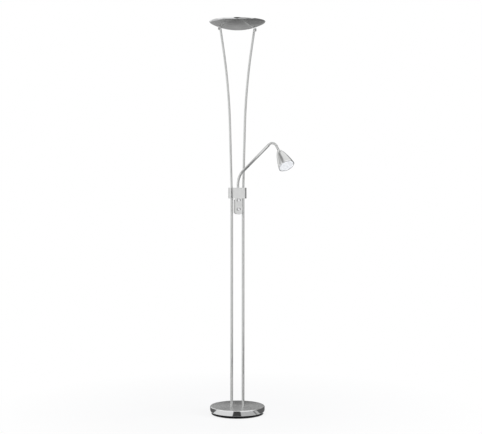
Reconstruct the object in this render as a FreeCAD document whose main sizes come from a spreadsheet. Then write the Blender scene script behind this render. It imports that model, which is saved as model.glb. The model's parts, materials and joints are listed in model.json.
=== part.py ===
"""Torchiere floor lamp with two poles, a shallow dish on top and a reading light on a flexible arm.

Millimetres, +Z up. The origin is the centre of the base, on the floor. The poles stand along X, the
two dimmer knobs face -Y, and the reading arm leans out to the front, a little to the right.
"""
import FreeCAD, Part

import math
import os

import Sketcher
from FreeCAD import Placement, Rotation, Vector

SIZES = {
    # Base: a spun cover over a cast weight, on a black tray with a felt pad under it
    "base_radius": 125.0,
    "base_height": 37.5,
    "cover_wall": 1.2,
    "cover_edge_radius": 4.0,
    "tray_radius": 119.0,
    "tray_ledge_height": 13.5,
    "tray_ledge_thickness": 2.0,
    "tray_wall": 3.0,
    "felt_thickness": 2.0,
    "felt_radius": 112.0,
    "weight_chamfer": 3.0,
    "weight_side_gap": 0.8,
    "base_screw_circle": 80.0,
    "base_screw_radius": 2.45,
    "base_screw_head_radius": 4.6,
    "base_screw_head_height": 2.2,
    "base_screw_reach": 29.0,
    "boss_radius": 6.5,
    "driver_length": 90.0,
    "driver_width": 40.0,
    "driver_height": 16.0,
    "driver_distance": 45.0,
    "driver_edge_radius": 2.0,
    "inlet_radius": 3.5,
    "inlet_height": 7.9,
    "gland_body_radius": 4.7,
    "gland_flange_radius": 5.5,
    "gland_flange_thickness": 1.6,
    "gland_tail": 6.0,
    # Poles: straight tubes below the bracket, thinner tubes that spread above it
    "pole_offset": 27.0,
    "lower_pole_radius": 6.0,
    "upper_pole_radius": 5.0,
    "pole_wall": 1.0,
    "pole_joint_height": 1011.0,
    "spread_start_angle": 1.5,
    "spread_end_angle": 8.7,
    "spread_arc_drop": 447.0,
    "spread_arc_radius": 2900.0,
    "coupling_reach": 20.0,
    "coupling_bore": 2.5,
    "nipple_reach": 20.0,
    "nipple_bore": 3.2,
    "nipple_tail": 21.0,
    "nut_width": 14.0,
    "nut_thickness": 5.0,
    "washer_radius": 10.0,
    "washer_thickness": 1.5,
    "weight_web": 11.0,
    # Bracket, front plate and switch housing
    "bracket_below_joint": 24.0,
    "bracket_height": 49.0,
    "lobe_radius": 15.5,
    "pad_depth": 6.5,
    "bracket_screw_offset": 13.0,
    "bracket_screw_inset": 11.0,
    "bracket_screw_radius": 2.4,
    "bracket_screw_head_radius": 4.0,
    "bracket_screw_head_height": 2.6,
    "bracket_screw_reach": 11.0,
    "plate_thickness": 2.0,
    "plate_width": 56.0,
    "stem_width": 35.0,
    "stem_length": 73.0,
    "stem_round_radius": 21.5,
    "plate_corner_radius": 2.0,
    "housing_inset": 1.0,
    "housing_wall": 1.8,
    "housing_depth": 28.0,
    "shadow_gap": 5.0,
    "tongue_width": 22.4,
    "tongue_height": 4.0,
    "tongue_depth": 13.6,
    "board_width": 24.0,
    "board_height": 58.0,
    "board_thickness": 1.6,
    # Dimmers and their knobs
    "upper_knob_drop": 7.0,
    "knob_spacing": 41.0,
    "knob_radius": 8.0,
    "knob_length": 7.0,
    "knob_edge_radius": 1.0,
    "knob_dish_depth": 1.3,
    "knob_rim_width": 1.6,
    "knob_gap": 0.4,
    "dimmer_radius": 7.6,
    "dimmer_depth": 9.0,
    "bush_radius": 3.5,
    "bush_reach": 4.2,
    "dimmer_shaft_radius": 2.4,
    "dimmer_nut_width": 9.0,
    "dimmer_nut_thickness": 1.8,
    # Reading arm: flexible hose, straight tube, thinner flexible hose
    "arm_forward": 10.0,
    "arm_swing": 19.5,
    "lower_hose_radius": 6.0,
    "lower_link_length": 12.0,
    "lower_link_bend": 10.0,
    "upper_hose_radius": 5.25,
    "upper_link_length": 10.4,
    "upper_link_bend": 13.5,
    "link_play": 0.15,
    "socket_wall": 1.0,
    "rib_depth": 0.75,
    "hose_bore_radius": 2.0,
    "link_max_bend": 20.5,
    "root_spigot_reach": 16.0,
    "arm_tube_radius": 6.25,
    "arm_tube_wall": 1.05,
    "arm_tube_length": 229.0,
    "tube_spigot_reach": 12.0,
    "tube_collar_length": 3.0,
    # Reading head: bell shell, lens and what sits behind it
    "head_length": 88.0,
    "head_rim_radius": 35.8,
    "head_rim_length": 5.5,
    "head_mouth_radius": 34.6,
    "head_neck_radius": 6.6,
    "head_shoulder_radius": 18.5,
    "head_shoulder_length": 22.0,
    "head_shoulder_curve": 89.0,
    "head_side_curve": 360.0,
    "head_wall": 1.2,
    "head_floor": 2.0,
    "rim_spigot_wall": 1.2,
    "rim_spigot_length": 6.0,
    "rim_spigot_taper": 1.6,
    "rim_ledge": 1.4,
    "lens_thickness": 2.5,
    "lens_recess": 1.2,
    "head_sink_radius": 20.5,
    "head_sink_core": 7.5,
    "head_sink_bore": 2.5,
    "head_sink_fin": 3.0,
    "head_led_board_thickness": 1.6,
    "reflector_length": 26.0,
    "reflector_wall": 1.0,
    "reflector_throat_radius": 9.0,
    "head_screw_radius": 1.5,
    "head_screw_angle": -60.0,
    "head_spigot_radius": 4.4,
    "head_spigot_reach": 9.0,
    "head_nut_width": 11.0,
    "head_nut_thickness": 3.5,
    # Dish: spun bowl with a turned-out lip, on two ears between the pole tops
    "pivot_height": 1757.0,
    "dish_below_pivot": 2.5,
    "bowl_radius": 121.0,
    "bowl_depth": 29.6,
    "dish_radius": 127.5,
    "lip_height": 7.9,
    "lip_curve": 12.0,
    "dish_wall": 1.2,
    "diffuser_thickness": 2.0,
    "diffuser_side_gap": 0.4,
    "spreader_radius": 70.0,
    "spreader_rim": 1.5,
    "spreader_lift": 1.0,
    "spreader_foot_radius": 24.0,
    "led_board_radius": 62.0,
    "led_board_thickness": 1.6,
    "led_circle": 46.0,
    "led_count": 12.0,
    "led_size": 3.5,
    "led_height": 0.8,
    "ear_thickness": 3.0,
    "ear_width": 14.0,
    "ear_height": 20.0,
    "ear_gap": 0.3,
    "pivot_screw_radius": 2.95,
    "pivot_screw_head_radius": 5.0,
    "pivot_screw_head_height": 2.0,
    "pivot_play": 0.05,
    "pole_end_reach": 6.0,
    "pole_end_tail": 9.0,
    "pole_end_spigot": 14.0,
    "seat_gap": 0.2,
}

# Turned pieces with many rings have this many flats round them, which keeps their meshes light
WIDE_SIDES = 40
HEAD_SIDES = 30
KNOB_SIDES = 20
SMALL_SIDES = 12
HOSE_SIDES = 10
SCREW_SIDES = 8
BORE_SIDES = 20
# Lengths below this count as nothing
NOTHING = 1e-9
SPREAD_STEPS = 3
BOWL_STEPS = 4
RIBS_PER_LINK = 3
# The radius of a hose link's neck, as a share of its ball's
NECK_SHARE = 0.78
# How far a socket's lip stands beyond its joint, as a share of the socket's radius
LIP_SHARE = 0.34
# The rings of flats on a link's ball and in its socket, in radians below the joint's level
BALL_MIDDLE_ANGLE = -0.62
SOCKET_ANGLES = (-0.18, -0.62)
# Links bend about an axis across the arm's plane, or sideways, in this order from the bracket up
LOWER_BENDS = (0, 1, 1, 1, 1, 1, 1)
UPPER_BENDS = (1, 1, 1, 1, 1, 1, 0, 0)

doc = FreeCAD.newDocument("Torchiere")
sheet = doc.addObject("Spreadsheet::Sheet", "Sizes")
for row, (alias, number) in enumerate(SIZES.items(), start=1):
    sheet.set(f"A{row}", alias)
    sheet.set(f"B{row}", str(number))
    sheet.setAlias(f"B{row}", alias)
doc.recompute()

nodes = []


class Size:
    """A length that knows its value and the expression that binds it to the sheet."""

    def __init__(self, value, text):
        self.value = float(value)
        self.text = text

    def __float__(self):
        return self.value

    def __add__(self, other):
        other = as_size(other)
        return Size(self.value + other.value, f"({self.text} + {other.text})")

    def __sub__(self, other):
        other = as_size(other)
        return Size(self.value - other.value, f"({self.text} - {other.text})")

    def __mul__(self, other):
        other = as_size(other)
        return Size(self.value * other.value, f"({self.text} * {other.text})")

    def __truediv__(self, other):
        other = as_size(other)
        return Size(self.value / other.value, f"({self.text} / {other.text})")

    def __neg__(self):
        return Size(-self.value, f"(0 - {self.text})")

    def __radd__(self, other):
        return as_size(other) + self

    def __rsub__(self, other):
        return as_size(other) - self

    def __rmul__(self, other):
        return as_size(other) * self


def as_size(number):
    return number if isinstance(number, Size) else Size(number, f"{float(number):.6f}")


def size(alias):
    return Size(sheet.get(alias), f"Sizes.{alias}")


def clear_of(radius, sides=BORE_SIDES):
    """The corner radius of a bore with flats whose flats clear a round piece of this radius."""
    return radius * (1 / math.cos(math.pi / sides))


def root_of(square):
    return Size(math.sqrt(square.value), f"sqrt({square.text})")


def keep(thing):
    """Marks a finished sub-part for export."""
    nodes.append(thing)
    return thing


# Sketches and features

def new_body(label):
    body = doc.addObject("PartDesign::Body", label)
    body.Label = label
    return body


def new_sketch(body, name, role, offset=None):
    """A sketch on one of the body's origin planes, moved along the plane's normal by offset."""
    sketch = body.newObject("Sketcher::SketchObject", name)
    plane = [item for item in body.Origin.OriginFeatures if item.Role == role][0]
    sketch.AttachmentSupport = [(plane, "")]
    sketch.MapMode = "FlatFace"
    if offset is not None:
        sketch.setExpression(".AttachmentOffset.Base.z", as_size(offset).text)
    return sketch


def hold(sketch, edge, end, kind, place):
    """Ties one end of an edge to the origin along X or Y by a size."""
    place = as_size(place)
    if abs(place.value) < NOTHING:
        axis = -2 if kind == "DistanceX" else -1
        sketch.addConstraint(Sketcher.Constraint("PointOnObject", edge, end, axis))
    elif place.value > 0:
        row = sketch.addConstraint(Sketcher.Constraint(kind, -1, 1, edge, end, place.value))
        sketch.setExpression(f"Constraints[{row}]", place.text)
    else:
        row = sketch.addConstraint(Sketcher.Constraint(kind, edge, end, -1, 1, -place.value))
        sketch.setExpression(f"Constraints[{row}]", f"0 - {place.text}")


def arc_between(start, end, radius, side):
    """The shorter arc between two points, bulging to the left (side 1) or right (side -1) of its chord.

    Also tells which of the arc's own ends lies at the start and which at the end.
    """
    chord = end - start
    half = chord.Length / 2
    left = Vector(-chord.y, chord.x, 0).normalize()
    centre = (start + end) * 0.5 - left * (side * math.sqrt(max(radius * radius - half * half, 0.0)))
    angles = [math.atan2(place.y - centre.y, place.x - centre.x) for place in (start, end)]
    ends = (1, 2)
    if side > 0:
        angles.reverse()
        ends = (2, 1)
    if angles[1] < angles[0]:
        angles[1] += 2 * math.pi
    return Part.ArcOfCircle(Part.Circle(centre, Vector(0, 0, 1), radius), *angles), ends


def draw_outline(sketch, points, arcs=None):
    """A closed outline through points given as pairs of sizes; arcs maps an edge to (radius, side)."""
    arcs = arcs or {}
    places = [Vector(float(x), float(y), 0) for x, y in points]
    count = len(points)
    ends = []
    first = sketch.GeometryCount
    for number in range(count):
        start = places[number]
        end = places[(number + 1) % count]
        curve, order = Part.LineSegment(start, end), (1, 2)
        if number in arcs:
            radius, side = arcs[number]
            curve, order = arc_between(start, end, float(radius), side)
        sketch.addGeometry(curve, False)
        ends.append(order)
    for number in range(count):
        following = (number + 1) % count
        sketch.addConstraint(Sketcher.Constraint(
            "Coincident", first + number, ends[number][1], first + following, ends[following][0]))
        x, y = points[number]
        hold(sketch, first + number, ends[number][0], "DistanceX", x)
        hold(sketch, first + number, ends[number][0], "DistanceY", y)
    for number, (radius, side) in arcs.items():
        row = sketch.addConstraint(Sketcher.Constraint("Radius", first + number, float(radius)))
        sketch.setExpression(f"Constraints[{row}]", as_size(radius).text)


def draw_circle(sketch, x, y, radius):
    x, y, radius = as_size(x), as_size(y), as_size(radius)
    centre = Vector(x.value, y.value, 0)
    edge = sketch.addGeometry(Part.Circle(centre, Vector(0, 0, 1), radius.value), False)
    hold(sketch, edge, 3, "DistanceX", x)
    hold(sketch, edge, 3, "DistanceY", y)
    row = sketch.addConstraint(Sketcher.Constraint("Radius", edge, radius.value))
    sketch.setExpression(f"Constraints[{row}]", radius.text)


def turned(label, points, arcs=None):
    """A body of revolution about Z from an outline of (radius, height) pairs."""
    body = new_body(label)
    sketch = new_sketch(body, f"{label}_outline", "XZ_Plane")
    draw_outline(sketch, points, arcs)
    turn = body.newObject("PartDesign::Revolution", f"{label}_turning")
    turn.Profile = sketch
    turn.ReferenceAxis = (sketch, ["V_Axis"])
    turn.Angle = 360
    doc.recompute()
    return body


def extrude(body, sketch, depth, kind, reverse=False):
    """Adds or removes a sketch's extrusion, and checks that it changed the body."""
    before = body.Shape.Volume if body.Tip is not None else 0.0
    feature = body.newObject(f"PartDesign::{kind}", f"{sketch.Name}_{kind.lower()}")
    feature.Profile = sketch
    feature.setExpression("Length", as_size(depth).text)
    feature.Reversed = reverse
    doc.recompute()
    change = body.Shape.Volume - before
    if (kind == "Pad") != (change > 0):
        raise RuntimeError(f"{feature.Label} changed nothing")
    return feature


def drill(body, name, holes, start, depth):
    """Round holes of (x, y, radius) that run up from the height start."""
    sketch = new_sketch(body, name, "XY_Plane", start)
    for x, y, radius in holes:
        draw_circle(sketch, x, y, radius)
    return extrude(body, sketch, depth, "Pocket", reverse=True)


def round_edges(body, name, edges, radius):
    """Rounds the edges with the given numbers."""
    base = body.Tip
    rounding = body.newObject("PartDesign::Fillet", name)
    rounding.Base = (base, [f"Edge{number}" for number in edges])
    rounding.setExpression("Radius", as_size(radius).text)
    doc.recompute()
    return rounding


def faceted(profile, sides):
    """A solid about Z with flat sides, from a closed outline of (radius, height)."""
    rings = []
    for radius, height in profile:
        turn = [2 * math.pi * number / sides for number in range(sides)]
        rings.append([Vector(radius * math.cos(angle), radius * math.sin(angle), height) for angle in turn])
    faces = []
    for edge, (lower, upper) in enumerate(zip(rings, rings[1:] + rings[:1])):
        low_radius, low_height = profile[edge]
        high_radius, high_height = profile[(edge + 1) % len(profile)]
        if low_radius < NOTHING and high_radius < NOTHING:
            continue
        if abs(low_height - high_height) < NOTHING and min(low_radius, high_radius) < NOTHING:
            outer = upper if low_radius < NOTHING else lower
            faces.append(Part.Face(Part.makePolygon(outer + outer[:1])))
            continue
        for number in range(sides):
            following = (number + 1) % sides
            corners = [lower[number], lower[following], upper[following], upper[number]]
            if low_radius < NOTHING:
                corners = corners[1:]
            elif high_radius < NOTHING:
                corners = corners[:3]
            faces.append(Part.Face(Part.makePolygon(corners + corners[:1])))
    solid = Part.makeSolid(Part.makeShell(faces))
    if solid.Volume < 0:
        solid.reverse()
    return solid


def rounded(points, arcs):
    """The outline with each edge in arcs, (radius, side, steps), drawn as steps along its arc."""
    outline = []
    for number, point in enumerate(points):
        start = Vector(float(point[0]), float(point[1]), 0)
        following = points[(number + 1) % len(points)]
        outline.append((start.x, start.y))
        if number in arcs:
            radius, side, steps = arcs[number]
            end = Vector(float(following[0]), float(following[1]), 0)
            curve = arc_between(start, end, float(radius), side)[0]
            marks = curve.discretize(steps + 1)[1:-1]
            if side > 0:
                marks.reverse()
            outline += [(mark.x, mark.y) for mark in marks]
    return outline


def lathed(label, points, sides, arcs=None):
    """A turned piece with flats, which reads its sizes from the sheet."""
    piece = doc.addObject("Part::Feature", label)
    piece.Shape = faceted(rounded(points, arcs or {}), sides)
    piece.Label = label
    return piece


# Primitives

DIRECTIONS = {
    "+z": Rotation(),
    "+y": Rotation(Vector(1, 0, 0), -90),
    "-y": Rotation(Vector(1, 0, 0), 90),
    "+x": Rotation(Vector(0, 1, 0), 90),
    "-x": Rotation(Vector(0, 1, 0), -90),
}


def set_place(thing, x, y, z, turn=None):
    thing.Placement = Placement(Vector(), turn or Rotation())
    for axis, place in (("x", x), ("y", y), ("z", z)):
        thing.setExpression(f".Placement.Base.{axis}", as_size(place).text)


def cylinder(name, radius, length, x, y, z, direction="+z"):
    rod = doc.addObject("Part::Cylinder", name)
    rod.setExpression("Radius", as_size(radius).text)
    rod.setExpression("Height", as_size(length).text)
    set_place(rod, x, y, z, DIRECTIONS[direction])
    return rod


def block(name, x, y, z, x_size, y_size, z_size):
    """A box from its lowest corner."""
    brick = doc.addObject("Part::Box", name)
    brick.setExpression("Length", as_size(x_size).text)
    brick.setExpression("Width", as_size(y_size).text)
    brick.setExpression("Height", as_size(z_size).text)
    set_place(brick, x, y, z)
    return brick


def prism(name, sides, radius, length, x, y, z, direction="+z"):
    """A prism by its corners' radius; one with many sides stands for a small round piece."""
    rod = doc.addObject("Part::Prism", name)
    rod.Polygon = sides
    rod.setExpression("Circumradius", as_size(radius).text)
    rod.setExpression("Height", as_size(length).text)
    set_place(rod, x, y, z, DIRECTIONS[direction])
    return rod


def hexagon(name, width, length, x, y, z, direction="+z"):
    """A six-sided prism by its width across the flats."""
    return prism(name, 6, as_size(width) / math.sqrt(3), length, x, y, z, direction)


def joined(label, *pieces):
    union = doc.addObject("Part::MultiFuse", label)
    union.Shapes = list(pieces)
    union.Label = label
    doc.recompute()
    return union


def grouped(label, *pieces):
    """Separate solids kept in one node."""
    group = doc.addObject("Part::Compound", label)
    group.Links = list(pieces)
    group.Label = label
    doc.recompute()
    return group


def cut(label, base, *tools):
    """The base less the tools."""
    tool = tools[0] if len(tools) == 1 else joined(f"{label}_tools", *tools)
    rest = doc.addObject("Part::Cut", label)
    rest.Base = base
    rest.Tool = tool
    rest.Label = label
    doc.recompute()
    return rest


def set_along(thing, place, turn):
    """Puts a finished sub-part in the arm's line."""
    thing.Placement = Placement(place, turn)


# Base

cover_bottom = size("tray_ledge_height")
tray_top = cover_bottom + size("tray_ledge_thickness")
cover_underside = size("base_height") - size("cover_wall")
cover_inner = size("base_radius") - size("cover_wall")
tray_floor = size("felt_thickness") + size("tray_wall")
lower_pole_radius = size("lower_pole_radius")
pole_x = size("pole_offset")
pole_sides = (("left", -1), ("right", 1))


def build_base():
    edge = size("cover_edge_radius")
    wall = size("cover_wall")
    radius = size("base_radius")
    top = size("base_height")
    blank = lathed("base_cover_blank", [
        (radius, cover_bottom), (radius, top - edge), (radius - edge, top), (0, top),
        (0, top - wall), (radius - edge, top - wall), (radius - wall, top - edge),
        (radius - wall, cover_bottom),
    ], WIDE_SIDES, {1: (edge, -1, 3)})
    hole = lower_pole_radius + size("seat_gap")
    holes = [prism(f"cover_pole_hole_{side}", BORE_SIDES, hole, wall * 3, pole_x * sign, 0, top - wall * 2)
             for side, sign in pole_sides]
    keep(cut("base_cover", blank, *holes))
    build_tray()
    build_weight()

    keep(lathed("base_felt_pad", [
        (0, 0), (size("felt_radius"), 0), (size("felt_radius"), size("felt_thickness")),
        (0, size("felt_thickness")),
    ], WIDE_SIDES))

    driver = new_body("led_driver")
    sketch = new_sketch(driver, "driver_outline", "XY_Plane", tray_floor)
    half_length = size("driver_length") / 2
    near = size("driver_distance") - size("driver_width") / 2
    far = size("driver_distance") + size("driver_width") / 2
    draw_outline(sketch, [(-half_length, near), (half_length, near), (half_length, far), (-half_length, far)])
    extrude(driver, sketch, size("driver_height"), "Pad")
    upright = [number for number, edge in enumerate(driver.Shape.Edges, start=1)
               if abs(edge.tangentAt(edge.FirstParameter).z) > 0.9]
    round_edges(driver, "driver_rounding", upright, size("driver_edge_radius"))
    keep(driver)


def base_screw_places():
    circle = size("base_screw_circle")
    return [(circle, as_size(0)), (as_size(0), circle), (-circle, as_size(0)), (as_size(0), -circle)]


def build_tray():
    radius = size("tray_radius")
    ledge = cover_inner - size("seat_gap")
    wall = size("tray_wall")
    felt = size("felt_thickness")
    blank = lathed("base_tray_blank", [
        (0, felt), (radius, felt), (radius, cover_bottom), (ledge, cover_bottom), (ledge, tray_top),
        (radius - wall, tray_top), (radius - wall, tray_floor), (0, tray_floor),
    ], WIDE_SIDES)
    head_height = size("base_screw_head_height")
    play = size("seat_gap")
    bosses = []
    holes = [cylinder("tray_cord_inlet", size("gland_body_radius") + size("pivot_play"), wall * 3,
                      0, radius - wall * 2, size("inlet_height"), "+y")]
    for number, (x, y) in enumerate(base_screw_places()):
        bosses.append(prism(f"tray_boss_{number}", SCREW_SIDES, size("boss_radius"), tray_top - felt,
                            x, y, felt))
        holes.append(prism(f"tray_screw_sink_{number}", SCREW_SIDES, size("base_screw_head_radius") + play,
                           head_height + play, x, y, felt))
        holes.append(prism(f"tray_screw_bore_{number}", SCREW_SIDES, size("base_screw_radius") + play,
                           tray_top, x, y, felt))
    keep(cut("base_tray", joined("base_tray_with_bosses", blank, *bosses), *holes))

    flange = size("gland_flange_thickness")
    tail = size("gland_tail")
    bush = lathed("cord_gland_blank", [
        (0, 0), (size("gland_flange_radius"), 0), (size("gland_flange_radius"), flange),
        (size("gland_body_radius"), flange), (size("gland_body_radius"), flange + tail), (0, flange + tail),
    ], SMALL_SIDES)
    gland = cut("cord_gland", bush, cylinder("cord_bore", size("inlet_radius"), flange + tail, 0, 0, 0))
    set_place(gland, 0, radius + flange, size("inlet_height"), DIRECTIONS["-y"])
    keep(gland)

    screws = []
    start = felt + size("seat_gap")
    for number, (x, y) in enumerate(base_screw_places()):
        head = prism(f"base_screw_head_{number}", SCREW_SIDES, size("base_screw_head_radius"), head_height,
                     x, y, start)
        shank = prism(f"base_screw_shank_{number}", SCREW_SIDES, size("base_screw_radius"),
                      size("base_screw_reach") - start, x, y, start)
        screws.append(joined(f"base_screw_{number}", head, shank))
    keep(grouped("base_screws", *screws))


def build_weight():
    radius = cover_inner - size("weight_side_gap")
    chamfer = size("weight_chamfer")
    blank = lathed("base_weight_blank", [
        (0, tray_top), (radius, tray_top), (radius, cover_underside - chamfer),
        (radius - chamfer, cover_underside), (0, cover_underside),
    ], WIDE_SIDES)
    thickness = cover_underside - tray_top
    web_bottom = cover_underside - size("weight_web")
    nipple = lower_pole_radius - size("pole_wall") - size("pivot_play")
    play = size("seat_gap")
    holes = []
    for side, sign in pole_sides:
        holes.append(prism(f"weight_nipple_hole_{side}", SMALL_SIDES, nipple + play, thickness * 2,
                           pole_x * sign, 0, tray_top - 1))
        holes.append(prism(f"weight_counterbore_{side}", SCREW_SIDES, size("washer_radius") + 1,
                           web_bottom - tray_top + 1, pole_x * sign, 0, tray_top - 1))
    for number, (x, y) in enumerate(base_screw_places()):
        holes.append(prism(f"weight_screw_hole_{number}", SCREW_SIDES,
                           size("base_screw_radius") + size("pivot_play"),
                           size("base_screw_reach") + 1 - tray_top, x, y, tray_top))
    half_length = size("driver_length") / 2 + 2
    near = size("driver_distance") - size("driver_width") / 2 - 2
    holes.append(block("weight_driver_pocket", -half_length, near, tray_top - 1, half_length * 2,
                       size("driver_width") + 4, tray_floor + size("driver_height") + 2 - tray_top))
    keep(cut("base_weight", blank, *holes))

    washer_bottom = web_bottom - size("washer_thickness")
    nut_bottom = washer_bottom - size("nut_thickness")
    nipples = []
    nuts = []
    washers = []
    for side, sign in pole_sides:
        x = pole_x * sign
        start = cover_underside - size("nipple_tail")
        length = size("nipple_tail") + size("nipple_reach")
        rod = prism(f"nipple_rod_{side}", SMALL_SIDES, nipple, length, x, 0, start)
        bore = prism(f"nipple_hole_{side}", SMALL_SIDES, size("nipple_bore"), length, x, 0, start)
        nipples.append(cut(f"nipple_{side}", rod, bore))
        nut = hexagon(f"nut_blank_{side}", size("nut_width"), size("nut_thickness"), x, 0, nut_bottom)
        nut_hole = prism(f"nut_hole_{side}", SMALL_SIDES, nipple, size("nut_thickness"), x, 0, nut_bottom)
        nuts.append(cut(f"nipple_nut_{side}", nut, nut_hole))
        disc = prism(f"washer_disc_{side}", SMALL_SIDES, size("washer_radius"), size("washer_thickness"),
                     x, 0, washer_bottom)
        eye = prism(f"washer_eye_{side}", SMALL_SIDES, nipple + size("seat_gap"), size("washer_thickness"),
                    x, 0, washer_bottom)
        washers.append(cut(f"washer_{side}", disc, eye))
    keep(grouped("pole_nipples", *nipples))
    keep(grouped("nipple_nuts_and_washers", *nuts, *washers))


# Poles

def spread_points():
    """Points (x, z) along the bend in the right upper pole's centre line."""
    first = math.radians(float(size("spread_start_angle")))
    last = math.radians(float(size("spread_end_angle")))
    radius = float(size("spread_arc_radius"))
    joint = float(size("pole_joint_height"))
    z_arc = float(size("pivot_height") - size("spread_arc_drop"))
    x_arc = float(pole_x) + (z_arc - joint) * math.tan(first)
    points = []
    for step in range(SPREAD_STEPS + 1):
        angle = first + (last - first) * step / SPREAD_STEPS
        points.append((x_arc + radius * (math.cos(first) - math.cos(angle)),
                       z_arc + radius * (math.sin(angle) - math.sin(first))))
    return points


def end_lean():
    return math.radians(float(size("spread_end_angle")))


def pole_axis_x(height):
    """Distance of the upper pole's centre line from the middle, above its rounded stretch."""
    x_end, z_end = spread_points()[-1]
    return x_end + (height - z_end) * math.tan(end_lean())


def swept(route, radius):
    """A round rod along a route of straight runs with mitred corners."""
    start = route.Edges[0]
    foot = Placement(start.valueAt(start.FirstParameter),
                     Rotation(Vector(0, 0, 1), start.tangentAt(start.FirstParameter)))
    angles = [2 * math.pi * step / BORE_SIDES for step in range(BORE_SIDES + 1)]
    ring = Part.makePolygon([foot.multVec(Vector(radius * math.cos(turn), radius * math.sin(turn), 0))
                             for turn in angles])
    return route.makePipeShell([ring], True, False, 1)


def build_poles():
    wall = size("pole_wall")
    joint = size("pole_joint_height")
    outer = float(size("upper_pole_radius"))
    inner = outer - float(wall)
    pivot = float(size("pivot_height"))
    tube_end = pivot - float(size("pole_end_tail"))
    lean = end_lean()
    gap = float(size("seat_gap"))
    couplings = []
    pole_ends = []
    for side, sign in pole_sides:
        x = pole_x * sign
        lower = turned(f"lower_pole_{side}", [
            (lower_pole_radius - wall, cover_underside), (lower_pole_radius, cover_underside),
            (lower_pole_radius, joint), (lower_pole_radius - wall, joint),
        ])
        set_place(lower, x, 0, 0)
        keep(lower)

        first = math.radians(float(size("spread_start_angle")))
        foot = (float(pole_x) + gap * math.tan(first), float(joint) + gap)
        points = [foot, *spread_points(), (pole_axis_x(tube_end), tube_end)]
        route = Part.makePolygon([Vector(sign * across, 0, up) for across, up in points])
        tube = doc.addObject("Part::Feature", f"upper_pole_{side}")
        tube.Shape = swept(route, outer).cut(swept(route, inner))
        keep(tube)
        couplings.append(pole_coupling(side, sign, first))
        pole_ends.append(pole_end(side, sign, lean, tube_end))
    keep(grouped("pole_couplings", *couplings))
    keep(grouped("pole_ends", *pole_ends))


def pole_coupling(side, sign, lean):
    """The pin inside a pole's joint: upright in the lower tube, leaning in the upper one."""
    reach = float(size("coupling_reach"))
    bore = float(size("coupling_bore"))
    joint = Vector(sign * float(pole_x), 0, float(size("pole_joint_height")))
    play = float(size("pivot_play"))
    wall = float(size("pole_wall"))
    lower_pin = faceted([(bore, -reach), (float(lower_pole_radius) - wall - play, -reach),
                         (float(lower_pole_radius) - wall - play, 0), (bore, 0)], SCREW_SIDES)
    upper_pin = faceted([(bore, 0), (float(size("upper_pole_radius")) - wall - play, 0),
                         (float(size("upper_pole_radius")) - wall - play, reach), (bore, reach)], SCREW_SIDES)
    lower_pin.translate(joint)
    upper_pin.Placement = Placement(joint, Rotation(Vector(0, 1, 0), sign * math.degrees(lean)))
    pin = doc.addObject("Part::Feature", f"pole_coupling_{side}")
    pin.Shape = lower_pin.fuse(upper_pin)
    return pin


def cross_rod(radius, sign, near, far):
    """A rod along X at the dish's pivot, on one side, between two distances from the middle."""
    rod = faceted([(0, near), (radius, near), (radius, far), (0, far)], SMALL_SIDES)
    rod.Placement = Placement(Vector(0, 0, float(size("pivot_height"))), Rotation(Vector(0, 1, 0), 90 * sign))
    return rod


def pole_end(side, sign, lean, tube_end):
    """The solid eye at a pole's top: a flat on its outer side takes the ear and the pivot screw."""
    radius = float(size("upper_pole_radius"))
    play = float(size("pivot_play"))
    pivot = float(size("pivot_height"))
    base = Vector(sign * pole_axis_x(tube_end), 0, tube_end)
    eye_length = (pivot + float(size("pole_end_reach")) - tube_end) / math.cos(lean)
    spigot_length = float(size("pole_end_spigot"))
    spigot_radius = radius - float(size("pole_wall")) - play
    eye = faceted([(0, -spigot_length), (spigot_radius, -spigot_length), (spigot_radius, 0), (radius, 0),
                   (radius, eye_length - radius / 2), (radius / 2, eye_length), (0, eye_length)], SMALL_SIDES)
    eye.Placement = Placement(base, Rotation(Vector(0, 1, 0), sign * math.degrees(lean)))
    flat = float(ear_inner_x()) - float(size("ear_gap"))
    reach = 4 * radius
    corner_x = flat if sign > 0 else -flat - reach
    waste = Part.makeBox(reach, 2 * reach, 2 * reach, Vector(corner_x, -reach, pivot - reach))
    bore = cross_rod(float(size("pivot_screw_radius")), sign, pole_axis_x(pivot) - 2 * radius,
                     pole_axis_x(pivot) + 2 * radius)
    top = doc.addObject("Part::Feature", f"pole_end_{side}")
    top.Shape = eye.cut(waste).cut(bore)
    return top


def ear_inner_x():
    """Inner face of the dish's ear, just outside the pole at the pivot's height."""
    lean = math.radians(float(size("spread_end_angle")))
    outer = pole_axis_x(float(size("pivot_height"))) + float(size("upper_pole_radius")) / math.cos(lean)
    return outer + float(size("ear_gap"))


# Bracket and switch housing

bracket_bottom = size("pole_joint_height") - size("bracket_below_joint")
bracket_top = bracket_bottom + size("bracket_height")
lobe = size("lobe_radius")
pad_front = -lobe - size("pad_depth")
plate_front = pad_front - size("plate_thickness")


def bracket_half(label, front):
    """One half of the clamp: a straight middle between two round lobes about the poles."""
    body = new_body(label)
    sketch = new_sketch(body, f"{label}_outline", "XY_Plane", bracket_bottom)
    if front:
        points = [(-pole_x - lobe, 0), (-pole_x, -lobe), (-pole_x, pad_front), (pole_x, pad_front),
                  (pole_x, -lobe), (pole_x + lobe, 0)]
        arcs = {0: (lobe, -1), 4: (lobe, -1)}
    else:
        points = [(pole_x + lobe, 0), (pole_x, lobe), (-pole_x, lobe), (-pole_x - lobe, 0)]
        arcs = {0: (lobe, -1), 2: (lobe, -1)}
    draw_outline(sketch, points, arcs)
    extrude(body, sketch, size("bracket_height"), "Pad")
    return body


def bracket_screw_places():
    inset = size("bracket_screw_inset")
    for x_sign in (-1, 1):
        for z in (bracket_bottom + inset, bracket_top - inset):
            yield size("bracket_screw_offset") * x_sign, z


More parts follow.
